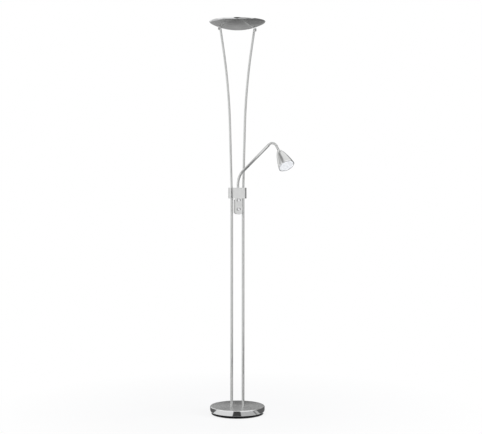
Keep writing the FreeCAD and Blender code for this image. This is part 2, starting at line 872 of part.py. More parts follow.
def build_bracket():
    play = size("pivot_play")
    joint = size("pole_joint_height")
    shaft_radius = size("bracket_screw_radius")
    head_radius = size("bracket_screw_head_radius")
    head_height = size("bracket_screw_head_height")
    reach = size("bracket_screw_reach")
    halves = {"bracket_front": bracket_half("bracket_front_blank", True),
              "bracket_back": bracket_half("bracket_back_blank", False)}
    tongue_half = size("tongue_width") / 2 + size("seat_gap")
    for label, blank in halves.items():
        tools = []
        for side, sign in pole_sides:
            tools.append(prism(f"{label}_lower_bore_{side}", BORE_SIDES, clear_of(lower_pole_radius + play),
                               joint + play - bracket_bottom, pole_x * sign, 0, bracket_bottom))
            upper = prism(f"{label}_upper_bore_{side}", BORE_SIDES,
                          clear_of(size("upper_pole_radius") + play),
                          bracket_top - joint + 2, pole_x * sign, 0, joint)
            upper.Placement.Rotation = Rotation(Vector(0, 1, 0), sign * float(size("spread_start_angle")))
            tools.append(upper)
        for number, (x, z) in enumerate(bracket_screw_places()):
            tools.append(prism(f"{label}_screw_bore_{number}", SCREW_SIDES, shaft_radius + play,
                               reach + lobe + play, x, -reach - play, z, "+y"))
            if label == "bracket_back":
                tools.append(prism(f"{label}_screw_sink_{number}", SCREW_SIDES,
                                   head_radius + size("seat_gap"),
                                   head_height, x, lobe - head_height, z, "+y"))
        if label == "bracket_front":
            tools.append(prism("arm_socket", BORE_SIDES, clear_of(root_spigot_radius() + play),
                               size("root_spigot_reach") + play, 0, -size("arm_forward"),
                               bracket_top - size("root_spigot_reach") - play))
            tools.append(prism("arm_wire_hole", SCREW_SIDES, size("hose_bore_radius") + 1,
                               size("bracket_height"), 0, -size("arm_forward"), bracket_bottom))
            tools.append(block("tongue_slot", -tongue_half, pad_front - 1, bracket_bottom - 1,
                               tongue_half * 2, size("tongue_depth") + size("seat_gap") + 1,
                               size("tongue_height") + size("seat_gap") + 1))
        keep(cut(label, blank, *tools))
    screws = []
    for number, (x, z) in enumerate(bracket_screw_places()):
        head = prism(f"bracket_screw_head_{number}", SCREW_SIDES, head_radius, head_height,
                     x, lobe - head_height, z, "+y")
        shank = prism(f"bracket_screw_shank_{number}", SCREW_SIDES, shaft_radius, reach + lobe - head_height,
                      x, -reach, z, "+y")
        screws.append(joined(f"bracket_screw_{number}", head, shank))
    keep(grouped("bracket_screws", *screws))
    build_front_plate()
    build_housing()


def stem_outline(inset, top):
    """Half width, the height where the round bottom starts and the lowest point, drawn in by inset."""
    half = size("stem_width") / 2 - inset
    radius = size("stem_round_radius") - inset
    bottom = bracket_bottom - size("stem_length") + inset
    shoulder = bottom + radius - root_of(radius * radius - half * half)
    return [(-half, top), (-half, shoulder), (half, shoulder), (half, top)], {1: (radius, -1)}


def build_front_plate():
    half_top = size("plate_width") / 2
    points, arcs = stem_outline(as_size(0), bracket_bottom)
    outline = points + [(half_top, bracket_bottom), (half_top, bracket_top), (-half_top, bracket_top),
                        (-half_top, bracket_bottom)]
    plate = new_body("front_plate")
    sketch = new_sketch(plate, "plate_outline", "XZ_Plane", -pad_front)
    draw_outline(sketch, outline, arcs)
    extrude(plate, sketch, size("plate_thickness"), "Pad")
    holes = new_sketch(plate, "plate_bush_holes", "XZ_Plane", -plate_front)
    for height in knob_heights():
        draw_circle(holes, 0, height, size("bush_radius") + size("seat_gap"))
    extrude(plate, holes, size("plate_thickness") + 1, "Pocket")
    corners = [number for number, edge in enumerate(plate.Shape.Edges, start=1)
               if abs(edge.tangentAt(edge.FirstParameter).y) > 0.9
               and abs(abs(edge.CenterOfMass.x) - float(half_top)) < 1e-3]
    round_edges(plate, "plate_corner_rounding", corners, size("plate_corner_radius"))
    keep(plate)


def build_housing():
    wall = size("housing_wall")
    inset = size("housing_inset")
    top = bracket_bottom - size("shadow_gap")
    housing = new_body("switch_housing")
    outline = new_sketch(housing, "housing_outline", "XZ_Plane", -pad_front)
    points, arcs = stem_outline(inset, top)
    draw_outline(outline, points, arcs)
    extrude(housing, outline, size("housing_depth"), "Pad", reverse=True)
    tongue_half = size("tongue_width") / 2
    tongue = new_sketch(housing, "housing_tongue", "XZ_Plane", -pad_front)
    draw_outline(tongue, [(-tongue_half, top - wall), (tongue_half, top - wall),
                          (tongue_half, bracket_bottom + size("tongue_height")),
                          (-tongue_half, bracket_bottom + size("tongue_height"))])
    extrude(housing, tongue, size("tongue_depth"), "Pad", reverse=True)
    cavity = new_sketch(housing, "housing_cavity", "XZ_Plane", -pad_front)
    points, arcs = stem_outline(inset + wall, top - wall)
    draw_outline(cavity, points, arcs)
    extrude(housing, cavity, size("housing_depth") - wall, "Pocket")
    throat = new_sketch(housing, "housing_throat", "XZ_Plane", -pad_front)
    inner = tongue_half - wall
    draw_outline(throat, [(-inner, top - wall * 2), (inner, top - wall * 2),
                          (inner, bracket_bottom + size("tongue_height") - wall),
                          (-inner, bracket_bottom + size("tongue_height") - wall)])
    extrude(housing, throat, size("tongue_depth") - wall, "Pocket")
    drill(housing, "housing_wire_hole", [(0, -size("arm_forward"), size("hose_bore_radius") + 1)],
          bracket_bottom, size("tongue_height") + 1)
    keep(housing)

    board_front = pad_front + size("dimmer_depth")
    half = size("board_width") / 2
    middle = bracket_bottom - size("upper_knob_drop") - size("knob_spacing") / 2
    board_bottom = middle - size("board_height") / 2
    board = new_body("dimmer_board")
    board_sketch = new_sketch(board, "board_outline", "XZ_Plane", -board_front)
    board_top = top - wall - size("seat_gap")
    draw_outline(board_sketch, [(-half, board_bottom), (half, board_bottom), (half, board_top),
                                (-half, board_top)])
    extrude(board, board_sketch, size("board_thickness"), "Pad", reverse=True)
    keep(board)


# Dimmers and knobs

def knob_heights():
    upper = bracket_bottom - size("upper_knob_drop")
    return upper, upper - size("knob_spacing")


def build_dimmers():
    nuts = []
    for name, height in zip(("upper", "lower"), knob_heights()):
        bush = size("bush_radius")
        depth = size("dimmer_depth")
        reach = size("bush_reach") + size("plate_thickness")
        shaft = size("dimmer_shaft_radius")
        play = size("pivot_play")
        shaft_depth = depth - 2
        dimmer = lathed(f"dimmer_{name}", [
            (0, 0), (size("dimmer_radius"), 0), (size("dimmer_radius"), depth), (bush, depth),
            (bush, depth + reach), (shaft + play * 2, depth + reach), (shaft + play * 2, depth - shaft_depth),
            (0, depth - shaft_depth),
        ], SMALL_SIDES)
        set_place(dimmer, 0, pad_front + depth, height, DIRECTIONS["-y"])
        keep(dimmer)

        back = plate_front - size("knob_gap")
        rod_end = pad_front + shaft_depth - play
        rod_tip = plate_front - size("bush_reach") - size("seat_gap") * 2
        rod = prism(f"knob_shaft_{name}", SMALL_SIDES, shaft, rod_end - rod_tip, 0, rod_end, height, "-y")
        rod.Label = f"knob_shaft_{name}"
        keep(rod)
        build_knob(name, height, back)

        nut_back = plate_front
        nut = hexagon(f"dimmer_nut_blank_{name}", size("dimmer_nut_width"), size("dimmer_nut_thickness"),
                      0, nut_back, height, "-y")
        nut_hole = prism(f"dimmer_nut_hole_{name}", SMALL_SIDES, bush, size("dimmer_nut_thickness"),
                         0, nut_back, height, "-y")
        nuts.append(cut(f"dimmer_nut_{name}", nut, nut_hole))
    keep(grouped("dimmer_nuts", *nuts))


def build_knob(name, height, back):
    """A low polished knob with a dished face, hollow behind for the nut."""
    radius = size("knob_radius")
    length = size("knob_length")
    edge = size("knob_edge_radius")
    rim = size("knob_rim_width")
    dish = size("knob_dish_depth")
    skirt = radius - 1.2
    hollow = size("bush_reach") + size("seat_gap") * 2 - size("knob_gap")
    face = radius - rim
    dish_curve = (face * face + dish * dish) / (dish * 2)
    knob = lathed(f"knob_{name}", [
        (0, hollow), (skirt, hollow), (skirt, 0), (radius, 0), (radius, length - edge),
        (radius - edge, length), (face, length), (0, length - dish),
    ], KNOB_SIDES, {4: (edge, -1, 2), 6: (dish_curve, 1, 2)})
    set_place(knob, 0, back, height, DIRECTIONS["-y"])
    keep(knob)


# Reading arm

class Hose:
    """The sizes of one flexible hose's links, worked out from its radius and link length."""

    def __init__(self, radius, length):
        self.radius = float(size(radius))
        self.length = float(size(length))
        self.bore = float(size("hose_bore_radius"))
        self.groove = self.radius - float(size("rib_depth"))
        self.play = float(size("link_play"))
        self.ball = self.groove - float(size("socket_wall"))
        self.socket = (self.ball + self.play) / self.nearest_facet()
        self.lip = self.socket * LIP_SHARE
        limit = math.radians(float(size("link_max_bend")))
        self.first_rib = self.lip * math.cos(limit) + self.radius * math.sin(limit) + self.play
        self.pitch = self.length / RIBS_PER_LINK
        self.rib = self.pitch - (self.first_rib - self.lip)
        self.neck = self.ball * NECK_SHARE

    def socket_angles(self):
        """From the socket's rim in to its bore, measured from the joint's level."""
        return [math.asin(LIP_SHARE), *SOCKET_ANGLES, math.asin(self.bore / self.ball) - math.pi / 2]

    def nearest_facet(self):
        """How near the socket's flat faces come to its centre, as a share of its corners' radius."""
        flat = math.cos(math.pi / HOSE_SIDES)
        ring = [Vector(flat * math.cos(angle), math.sin(angle), 0) for angle in self.socket_angles()]
        return min(near.cross(far).Length / (far - near).Length for near, far in zip(ring, ring[1:]))

    def ball_end(self):
        """Outline of a ball end, centred on its joint, from the bore up to the first rib's foot."""
        ball = self.ball
        low = math.asin(self.bore / ball)
        high = math.acos(self.neck / ball)
        angles = [low - math.pi / 2, BALL_MIDDLE_ANGLE, 0.0, high]
        points = [(ball * math.cos(angle), ball * math.sin(angle)) for angle in angles]
        return points + [(self.neck, self.first_rib)]

    def ribs(self, count):
        """Outline of ribs and grooves above a ball end; the last rib is the next socket's rim."""
        points = []
        for number in range(count):
            foot = self.first_rib + number * self.pitch
            head = foot + self.rib
            points += [(self.radius, foot), (self.radius, head)]
            if number < count - 1:
                points.append((self.groove, (head + foot + self.pitch) / 2))
        return points

    def socket_end(self, centre):
        """Outline of the socket, from its rim in to the bore, centred on the next joint."""
        return [(self.socket * math.cos(angle), centre + self.socket * math.sin(angle))
                for angle in self.socket_angles()]

    def link(self):
        return self.ball_end() + self.ribs(RIBS_PER_LINK) + self.socket_end(self.length)

    def rim(self, base):
        """The last rib alone, above a plain length of the given radius and height."""
        head = self.lip
        foot = head - self.rib
        return [base, (base[0], foot), (self.radius, foot), (self.radius, head)]


lower_hose = Hose("lower_hose_radius", "lower_link_length")
upper_hose = Hose("upper_hose_radius", "upper_link_length")


def root_spigot_radius():
    return size("lower_hose_radius") - 1.1


def arm_turn(lean):
    """The rotation that points a piece's Z axis along the arm, leaning out by an angle from upright."""
    swing = float(size("arm_swing"))
    return Rotation(Vector(0, 0, 1), swing - 90) * Rotation(Vector(0, 1, 0), lean)


def arm_joints():
    """Each hose joint's place and the lean of the piece above it, from the bracket to the head."""
    place = Vector(0, -float(size("arm_forward")), float(bracket_top))
    lean = 0.0
    up = Vector(0, 0, 1)
    place = place + arm_turn(lean).multVec(up) * (lower_hose.length / 2)
    joints = []
    for number, share in enumerate(LOWER_BENDS):
        lean += share * float(size("lower_link_bend"))
        joints.append(("lower", number, place, lean))
        if number < len(LOWER_BENDS) - 1:
            place = place + arm_turn(lean).multVec(up) * lower_hose.length
    place = place + arm_turn(lean).multVec(up) * straight_length()
    for number, share in enumerate(UPPER_BENDS):
        lean += share * float(size("upper_link_bend"))
        joints.append(("upper", number, place, lean))
        place = place + arm_turn(lean).multVec(up) * upper_hose.length
    return joints


def collar_start():
    """Where the straight tube starts above the last joint of the lower hose."""
    return lower_hose.first_rib + lower_hose.rib + float(size("tube_collar_length")) / 2


def collar_rise():
    """How far the first joint of the upper hose lies beyond the straight tube's end."""
    return float(size("tube_collar_length")) + upper_hose.socket


def straight_length():
    return collar_start() + float(size("arm_tube_length")) + collar_rise()


def arm_piece(label, shape, place, lean):
    piece = doc.addObject("Part::Feature", label)
    piece.Shape = shape
    set_along(piece, place, arm_turn(lean))
    return keep(piece)


def build_arm():
    joints = arm_joints()
    lower = [joint for joint in joints if joint[0] == "lower"]
    upper = [joint for joint in joints if joint[0] == "upper"]
    foot = -lower_hose.length / 2
    spigot = float(root_spigot_radius())
    root_profile = [
        (lower_hose.bore, foot - float(size("root_spigot_reach"))),
        (spigot, foot - float(size("root_spigot_reach"))), (spigot, foot),
    ] + lower_hose.rim((lower_hose.groove, foot)) + lower_hose.socket_end(0)
    arm_piece("arm_root_socket", faceted(root_profile, HOSE_SIDES), lower[0][2], 0)
    for joint in lower[:-1]:
        link = faceted(lower_hose.link(), HOSE_SIDES)
        arm_piece(f"lower_hose_link_{joint[1] + 1}", link, joint[2], joint[3])

    last = lower[-1]
    tube_outer = float(size("arm_tube_radius"))
    tube_inner = tube_outer - float(size("arm_tube_wall"))
    inside = tube_inner - float(size("pivot_play"))
    start = collar_start()
    reach = float(size("tube_spigot_reach"))
    first = lower_hose.first_rib
    collar_profile = lower_hose.ball_end() + [
        (lower_hose.radius, first), (lower_hose.radius, start), (inside, start),
        (inside, start + reach), (lower_hose.bore, start + reach),
    ]
    arm_piece("tube_lower_collar", faceted(collar_profile, HOSE_SIDES), last[2], last[3])

    length = float(size("arm_tube_length"))
    tube = Part.makeCylinder(tube_outer, length).cut(Part.makeCylinder(tube_inner, length))
    tube_place = last[2] + arm_turn(last[3]).multVec(Vector(0, 0, start))
    arm_piece("arm_tube", tube, tube_place, last[3])

    rise = collar_rise()
    shoulder = -upper_hose.socket
    head_profile = [
        (upper_hose.bore, -rise - reach), (inside, -rise - reach), (inside, -rise), (tube_outer, -rise),
        (tube_outer, -rise + 1), (upper_hose.groove, shoulder),
    ] + upper_hose.rim((upper_hose.groove, shoulder))[1:] + upper_hose.socket_end(0)
    arm_piece("tube_upper_collar", faceted(head_profile, HOSE_SIDES), upper[0][2], last[3])
    for joint in upper[:-1]:
        link = faceted(upper_hose.link(), HOSE_SIDES)
        arm_piece(f"upper_hose_link_{joint[1] + 1}", link, joint[2], joint[3])
    build_head(upper[-1][2], upper[-1][3])


# Reading head, drawn upright with its neck at the bottom, then turned to hang from the hose

head_mouth = size("head_length") - size("head_rim_length")


def head_shell_outline():
    neck = size("head_neck_radius")
    shoulder = size("head_shoulder_radius")
    shoulder_length = size("head_shoulder_length")
    mouth = size("head_mouth_radius")
    wall = size("head_wall")
    floor = size("head_floor")
    hole = size("head_spigot_radius") + size("pivot_play")
    points = [
        (hole, 0), (neck, 0), (shoulder, shoulder_length), (mouth, head_mouth), (mouth - wall, head_mouth),
        (shoulder - wall, shoulder_length + wall / 2), (neck, floor), (hole, floor),
    ]
    shoulder_curve = size("head_shoulder_curve")
    side_curve = size("head_side_curve")
    return points, {1: (shoulder_curve, -1, 2), 2: (side_curve, -1, 3), 4: (side_curve, 1, 2)}


def build_head(joint, lean):
    turn = arm_turn(lean)
    up = Vector(0, 0, 1)
    first = upper_hose.first_rib
    stop = first + upper_hose.rib + float(size("tube_collar_length")) / 2
    spigot = float(size("head_spigot_radius"))
    reach = float(size("head_spigot_reach"))
    ferrule_profile = upper_hose.ball_end() + [
        (upper_hose.radius, first),
        (upper_hose.radius, stop), (spigot, stop), (spigot, stop + reach), (upper_hose.bore, stop + reach),
    ]
    arm_piece("head_ferrule", faceted(ferrule_profile, HOSE_SIDES), joint, lean)
    neck = joint + turn.multVec(up * stop)

    points, arcs = head_shell_outline()
    shell = lathed("head_shell_blank", points, HEAD_SIDES, arcs)
    play = size("pivot_play")
    shell = cut("head_shell", shell, *head_screw_pins("shell_screw_hole", play))
    set_along(shell, neck, turn)
    keep(shell)

    floor = size("head_floor")
    thickness = size("head_nut_thickness")
    nut = hexagon("head_nut_blank", size("head_nut_width"), thickness, 0, 0, floor)
    nut_hole = prism("head_nut_hole", BORE_SIDES, clear_of(size("head_spigot_radius") + play), thickness,
                     0, 0, floor)
    head_nut = cut("head_nut", nut, nut_hole)
    set_along(head_nut, neck, turn)
    keep(head_nut)
    build_head_inside(neck, turn)


def head_screw_pins(name, play=0):
    """Two small pins across from each other that hold the rim ring in the shell."""
    inner = size("head_mouth_radius") - size("head_wall") - size("rim_spigot_wall") - size("rim_spigot_taper")
    outer = size("head_mouth_radius") + 0.5
    height = head_mouth - size("rim_spigot_length") / 2
    angle = float(size("head_screw_angle"))
    pins = []
    for number in range(2):
        pin = doc.addObject("Part::Prism", f"{name}_{number}")
        pin.Polygon = HOSE_SIDES
        pin.setExpression("Circumradius", (size("head_screw_radius") + play).text)
        pin.setExpression("Height", (outer - inner).text)
        turn = Rotation(Vector(0, 0, 1), angle + 180 * number) * DIRECTIONS["+x"]
        start = turn.multVec(Vector(0, 0, float(inner)))
        pin.Placement = Placement(start + Vector(0, 0, float(height)), turn)
        pins.append(pin)
    return pins


def build_head_inside(neck, turn):
    length = size("head_length")
    rim = size("head_rim_radius")
    play = size("pivot_play")
    lens_top = length - size("lens_recess")
    lens_back = lens_top - size("lens_thickness")
    spigot_outer = size("head_mouth_radius") - size("head_wall") - play * 2
    spigot_inner = spigot_outer - size("rim_spigot_wall")
    spigot_start = head_mouth - size("rim_spigot_length")
    lens_radius = spigot_inner + size("rim_ledge")
    taper = size("rim_spigot_taper")

    ring = lathed("head_rim_blank", [
        (lens_radius + play, length), (rim, length), (size("head_mouth_radius"), head_mouth),
        (spigot_outer, head_mouth),
        (spigot_outer - taper, spigot_start), (spigot_inner - taper, spigot_start),
        (spigot_inner, lens_back), (lens_radius + play, lens_back),
    ], HEAD_SIDES)
    ring = cut("head_rim_ring", ring, *head_screw_pins("rim_screw_hole"))
    screws = grouped("head_screws", *head_screw_pins("head_screw"))

    lens = lathed("head_lens", [
        (0, lens_back), (lens_radius, lens_back), (lens_radius, lens_top), (0, lens_top),
    ], HEAD_SIDES)

    reflector_back = lens_back - size("reflector_length")
    wall = size("reflector_wall")
    throat = size("reflector_throat_radius")
    mouth = spigot_inner - taper - play * 2
    reflector = lathed("head_reflector", [
        (throat, reflector_back), (throat + wall, reflector_back),
        (mouth, lens_back - wall), (mouth, lens_back), (mouth - wall, lens_back),
    ], HEAD_SIDES)

    board_back = reflector_back - size("head_led_board_thickness")
    sink_radius = size("head_sink_radius")
    chip_top = reflector_back + size("led_height")
    board = lathed("head_led_board", [
        (0, board_back), (sink_radius - 2, board_back), (sink_radius - 2, reflector_back),
        (throat - 2, reflector_back), (throat - 2, chip_top), (0, chip_top),
    ], SMALL_SIDES)
    sink = lathed("head_heat_sink", heat_sink_outline(board_back), SMALL_SIDES)
    for piece in (ring, screws, lens, reflector, board, sink):
        set_along(piece, neck, turn)
        keep(piece)


def heat_sink_outline(board_back):
    """A hollow pillar on the neck nut that widens into two fins under the LED board."""
    play = size("pivot_play")
    foot = size("head_floor") + size("head_nut_thickness")
    core = size("head_sink_core")
    fin = size("head_sink_fin")
    spigot_hole = clear_of(size("head_spigot_radius"), SMALL_SIDES) + play * 2
    hole_top = size("head_spigot_reach") + play * 4
    outline = [(spigot_hole, foot), (core, foot)]
    for number in (1, 0):
        top = board_back - fin * 2 * number
        radius = size("head_sink_radius") - number * 1.4
        outline += [(core, top - fin), (radius, top - fin), (radius, top)]
        if number > 0:
            outline.append((core, top))
    bore = size("head_sink_bore")
    return outline + [(bore, board_back), (bore, hole_top), (spigot_hole, hole_top)]


# Dish

def cap_rise(sphere, radius):
    """How far from a sphere's middle plane its surface lies at this distance from the axis."""
    return root_of(sphere * sphere - radius * radius)


def build_dish():
    bowl_radius = size("bowl_radius")
    depth = size("bowl_depth")
    wall = size("dish_wall")
    bottom = size("pivot_height") - size("dish_below_pivot")
    sphere = (bowl_radius * bowl_radius + depth * depth) / (depth * 2)
    inner_sphere = sphere - wall
    crease = bottom + depth
    top = crease + size("lip_height")
    rim = size("dish_radius")
    inner_crease_radius = bowl_radius - wall / 2
    inner_crease = bottom + sphere - cap_rise(inner_sphere, inner_crease_radius)
    crease_edge = (bowl_radius, crease)
    lip_curve = size("lip_curve")
    keep(lathed("dish_bowl", [
        (0, bottom), crease_edge, (rim, top), (rim - wall, top), (inner_crease_radius, inner_crease),
        (0, bottom + wall),
    ], WIDE_SIDES, {0: (sphere, -1, BOWL_STEPS), 1: (lip_curve, -1, 2), 4: (inner_sphere, 1, BOWL_STEPS)}))
    fill_outline = [(0, bottom), crease_edge, (0, crease)]
    bowl_fill = lathed("dish_bowl_fill", fill_outline, WIDE_SIDES, {0: (sphere, -1, BOWL_STEPS)})

    diffuser_radius = inner_crease_radius - size("diffuser_side_gap")
    diffuser_base = inner_crease + size("pivot_play")
    diffuser_top = diffuser_base + size("diffuser_thickness")
    keep(lathed("dish_diffuser", [
        (0, diffuser_base), (diffuser_radius, diffuser_base),
        (diffuser_radius, diffuser_top), (0, diffuser_top),
    ], WIDE_SIDES))

    # The spreader's foot lies on the first ring of the bowl's floor and its rim clears the bowl
    spread = size("spreader_radius")
    spread_edge = bottom + sphere + size("spreader_lift") - cap_rise(inner_sphere, spread)
    spread_top = spread_edge + size("spreader_rim")
    spread_foot = size("spreader_foot_radius")
    foot_start = bottom + wall + size("pivot_play")
    facet_angle = math.asin(float(inner_crease_radius / inner_sphere)) / BOWL_STEPS
    foot_level = foot_start + spread_foot * math.tan(facet_angle / 2)
    keep(lathed("dish_heat_spreader", [
        (0, foot_start), (spread_foot, foot_level), (spread, spread_edge),
        (spread, spread_top), (0, spread_top),
    ], WIDE_SIDES))

    board_radius = size("led_board_radius")
    board_top = spread_top + size("led_board_thickness")
    board = lathed("dish_led_board_blank", [
        (0, spread_top), (board_radius, spread_top), (board_radius, board_top), (0, board_top),
    ], WIDE_SIDES)
    chips = []
    count = int(float(size("led_count")))
    side = float(size("led_size"))
    for number in range(count):
        chip = doc.addObject("Part::Feature", f"dish_led_{number}")
        corner = Vector(float(size("led_circle")) - side / 2, -side / 2, float(board_top) - 0.1)
        chip.Shape = Part.makeBox(side, side, float(size("led_height")) + 0.1, corner)
        chip.Placement = Placement(Vector(), Rotation(Vector(0, 0, 1), 360 * number / count))
        chips.append(chip)
    keep(joined("dish_led_board", board, *chips))
    build_ears(bowl_fill)


def build_ears(bowl_fill):
    """Two plates welded under the bowl, each held to a pole's eye by a pivot screw."""
    ears = []
    screws = []
    pivot = size("pivot_height")
    width = size("ear_width")
    thickness = float(size("ear_thickness"))
    inner = ear_inner_x()
    play = float(size("pivot_play"))
    screw_radius = float(size("pivot_screw_radius"))
    head_radius = float(size("pivot_screw_head_radius"))
    for side, sign in pole_sides:
        start = Vector(sign * inner, 0, float(pivot))
        out = Vector(sign, 0, 0)
        foot = Part.makeCylinder(float(width) / 2, thickness, start, out)
        corner_x = inner if sign > 0 else -inner - thickness
        tall = float(size("ear_height"))
        plate = Part.makeBox(thickness, float(width), tall, Vector(corner_x, -float(width) / 2, float(pivot)))
        eye = Part.makeCylinder(screw_radius + play, thickness, start, out)
        ear = doc.addObject("Part::Feature", f"dish_ear_{side}")
        ear.Shape = foot.fuse(plate).cut(bowl_fill.Shape).cut(eye).removeSplitter()
        ears.append(ear)

        head_start = inner + thickness + float(size("ear_gap"))
        shank = cross_rod(screw_radius, sign, pole_axis_x(float(pivot)) - 2, head_start)
        head = cross_rod(head_radius, sign, head_start, head_start + float(size("pivot_screw_head_height")))
        screw = doc.addObject("Part::Feature", f"pivot_screw_{side}")
        screw.Shape = shank.fuse(head).removeSplitter()
        screws.append(screw)
    keep(grouped("dish_ears", *ears))
    keep(grouped("pivot_screws", *screws))


def check_and_write():
    doc.recompute()
    faults = [thing.Label for thing in doc.Objects if {"Invalid", "Error"} & set(thing.State)]
    faults += [node.Label for node in nodes if node.Shape.isNull() or not node.Shape.isValid()]
    if faults:
        raise RuntimeError(f"failed: {faults}")
    os.makedirs("parts", exist_ok=True)
    for node in nodes:
        node.Shape.exportStep(f"parts/{node.Label}.step")
    print(len(nodes), "sub-parts")


build_base()
build_poles()
build_bracket()
build_dimmers()
build_arm()
build_dish()
check_and_write()
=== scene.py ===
"""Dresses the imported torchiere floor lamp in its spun, brushed and polished metal, and lights it."""
import json
import math

import bmesh
import bpy
from mathutils import Matrix, Vector


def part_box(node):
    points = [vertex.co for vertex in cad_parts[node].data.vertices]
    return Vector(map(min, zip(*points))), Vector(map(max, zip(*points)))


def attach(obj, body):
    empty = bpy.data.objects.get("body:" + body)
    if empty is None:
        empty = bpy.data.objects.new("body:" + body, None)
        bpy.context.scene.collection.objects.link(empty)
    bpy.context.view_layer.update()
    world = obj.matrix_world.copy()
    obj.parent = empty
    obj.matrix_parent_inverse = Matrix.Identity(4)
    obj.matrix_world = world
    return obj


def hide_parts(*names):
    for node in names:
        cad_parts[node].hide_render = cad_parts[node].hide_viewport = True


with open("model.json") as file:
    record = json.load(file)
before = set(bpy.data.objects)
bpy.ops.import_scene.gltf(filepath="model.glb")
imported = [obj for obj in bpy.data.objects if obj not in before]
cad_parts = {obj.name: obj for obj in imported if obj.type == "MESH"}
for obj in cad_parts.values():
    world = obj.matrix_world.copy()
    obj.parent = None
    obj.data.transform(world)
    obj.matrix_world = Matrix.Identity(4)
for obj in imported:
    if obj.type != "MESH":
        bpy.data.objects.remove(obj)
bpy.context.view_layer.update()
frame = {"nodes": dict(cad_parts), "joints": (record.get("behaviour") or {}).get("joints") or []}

# Lengths are in millimetres, as in the part's source; each finished piece is brought to metres
MM = 0.001
POLE_OFFSET = 27.0
POLE_JOINT = 1011.0
PIVOT_HEIGHT = 1757.0
EYE_DROP = 9.0
EAR_THICKNESS = 3.0
EAR_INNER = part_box("dish_ears")[1].x / MM - EAR_THICKNESS
EAR_GAP = 0.3
BRACKET_BOTTOM = 987.0
BRACKET_TOP = 1036.0
PAD_FRONT = -22.0
LOBE = 15.5
PLATE_THICKNESS = 2.0
KNOB_GAP = 0.4
STEM_HALF = 17.5
STEM_BOTTOM = 914.0
STEM_ROUND = 21.5
KNOB_HEIGHTS = (("upper", 980.0), ("lower", 939.0))
HEAD_LENGTH = 88.0

# Where the part has one node for a pair of pieces, the left one replaces it
SIDES = (("left", -1), ("right", 1))

# The right upper pole's centre line: it leans out a little, bends in one long arc, then runs straight
LOW_LEAN = math.radians(1.5)
HIGH_LEAN = math.radians(8.7)
BEND_RADIUS = 2900.0
BEND_HEIGHT = PIVOT_HEIGHT - 447.0
BEND_START = Vector((POLE_OFFSET + (BEND_HEIGHT - POLE_JOINT) * math.tan(LOW_LEAN), 0, BEND_HEIGHT))
BEND_CENTRE = BEND_START + Vector((BEND_RADIUS * math.cos(LOW_LEAN), 0, -BEND_RADIUS * math.sin(LOW_LEAN)))
TOP_WAY = Vector((math.sin(HIGH_LEAN), 0, math.cos(HIGH_LEAN)))

# Which way is across the arm: the axis that its hoses bend about
ARM_ACROSS = next(joint["axis"] for joint in frame["joints"] if joint["name"] == "lower_bend")

# The camera as fitted to the photograph, in metres, with its lens in millimetres
CAMERA_ANGLE = math.radians(-15.7)
CAMERA_DISTANCE = 4.94
CAMERA_HEIGHT = 1.012
CAMERA_LENS = 80.8
AIM_RIGHT = 0.0165
AIM_HEIGHT = 0.9023

VERT, EDGE, FACE = bmesh.types.BMVert, bmesh.types.BMEdge, bmesh.types.BMFace
BEVEL_ANGLE = math.radians(25)
SHARP_ANGLE = math.radians(35)
WELD = 1e-4


# Outlines and shapes

def only(kind, found):
    """The points, edges or faces among what an operator gives back."""
    return [item for item in found if isinstance(item, kind)]


class Outline:
    """A lathe outline: radius across X, height up Z, drawn as one chain of edges."""

    def __init__(self, radius, height):
        self.bm = bmesh.new()
        self.first = self.last = self.bm.verts.new((radius, 0, height))

    def to(self, *places):
        """Straight lines to each place in turn."""
        for radius, height in places:
            following = self.bm.verts.new((radius, 0, height))
            self.bm.edges.new((self.last, following))
            self.last = following
        return self

    def bend(self, radius, height, curve, steps=6):
        """An arc to a place, bulging to the left of the way where curve is positive, else to the right."""
        start = self.last.co.copy()
        way = Vector((radius, 0, height)) - start
        half = way.length / 2
        left = Vector((-way.z, 0, way.x)).normalized()
        side = math.copysign(1, curve)
        middle = (start + Vector((radius, 0, height))) / 2
        centre = middle - left * side * math.sqrt(max(curve * curve - half * half, 0))
        turn = 2 * math.asin(min(half / abs(curve), 1)) * side
        swept = bmesh.ops.spin(self.bm, geom=[self.last], cent=centre, axis=(0, 1, 0), angle=turn,
                               steps=steps)
        self.last = only(VERT, swept["geom_last"])[0]
        return self

    def close(self):
        """Joins the end to the start, for a ring or a tube."""
        self.bm.edges.new((self.last, self.first))
        return self

    def turned(self, steps=40):
        """The outline turned once round the Z axis."""
        bm = self.bm
        bmesh.ops.spin(bm, geom=bm.verts[:] + bm.edges[:], cent=(0, 0, 0), axis=(0, 0, 1),
                       angle=math.tau, steps=steps, use_merge=True)
        bmesh.ops.remove_doubles(bm, verts=bm.verts, dist=WELD)
        bmesh.ops.recalc_face_normals(bm, faces=bm.faces)
        return bm


def drawn_out(bm, faces, way):
    """Draws faces out along a straight way, and gives back the ones at its end."""
    grown = bmesh.ops.extrude_face_region(bm, geom=faces)["geom"]
    bmesh.ops.translate(bm, vec=way, verts=only(VERT, grown))
    return only(FACE, grown)


def slab(outline, low, high, axis):
    """A plate whose outline gives the two other axes, spread along X, Y or Z from low to high."""
    number = "XYZ".index(axis)
    bm = bmesh.new()
    face = bm.faces.new([bm.verts.new((*spot[:number], low, *spot[number:])) for spot in outline])
    way = Vector((0, 0, 0))
    way[number] = high - low
    drawn_out(bm, [face], way)
    bmesh.ops.recalc_face_normals(bm, faces=bm.faces)
    return bm


def bevelled(bm, width, segments=2):
    """Rounds every edge where two faces meet at more than a slight angle."""
    edges = [edge for edge in bm.edges if len(edge.link_faces) == 2 and edge.calc_face_angle(0) > BEVEL_ANGLE]
    bmesh.ops.bevel(bm, geom=edges, offset=width, offset_type="OFFSET", segments=segments, profile=0.5,
                    affect="EDGES", material=-1)
    return bm


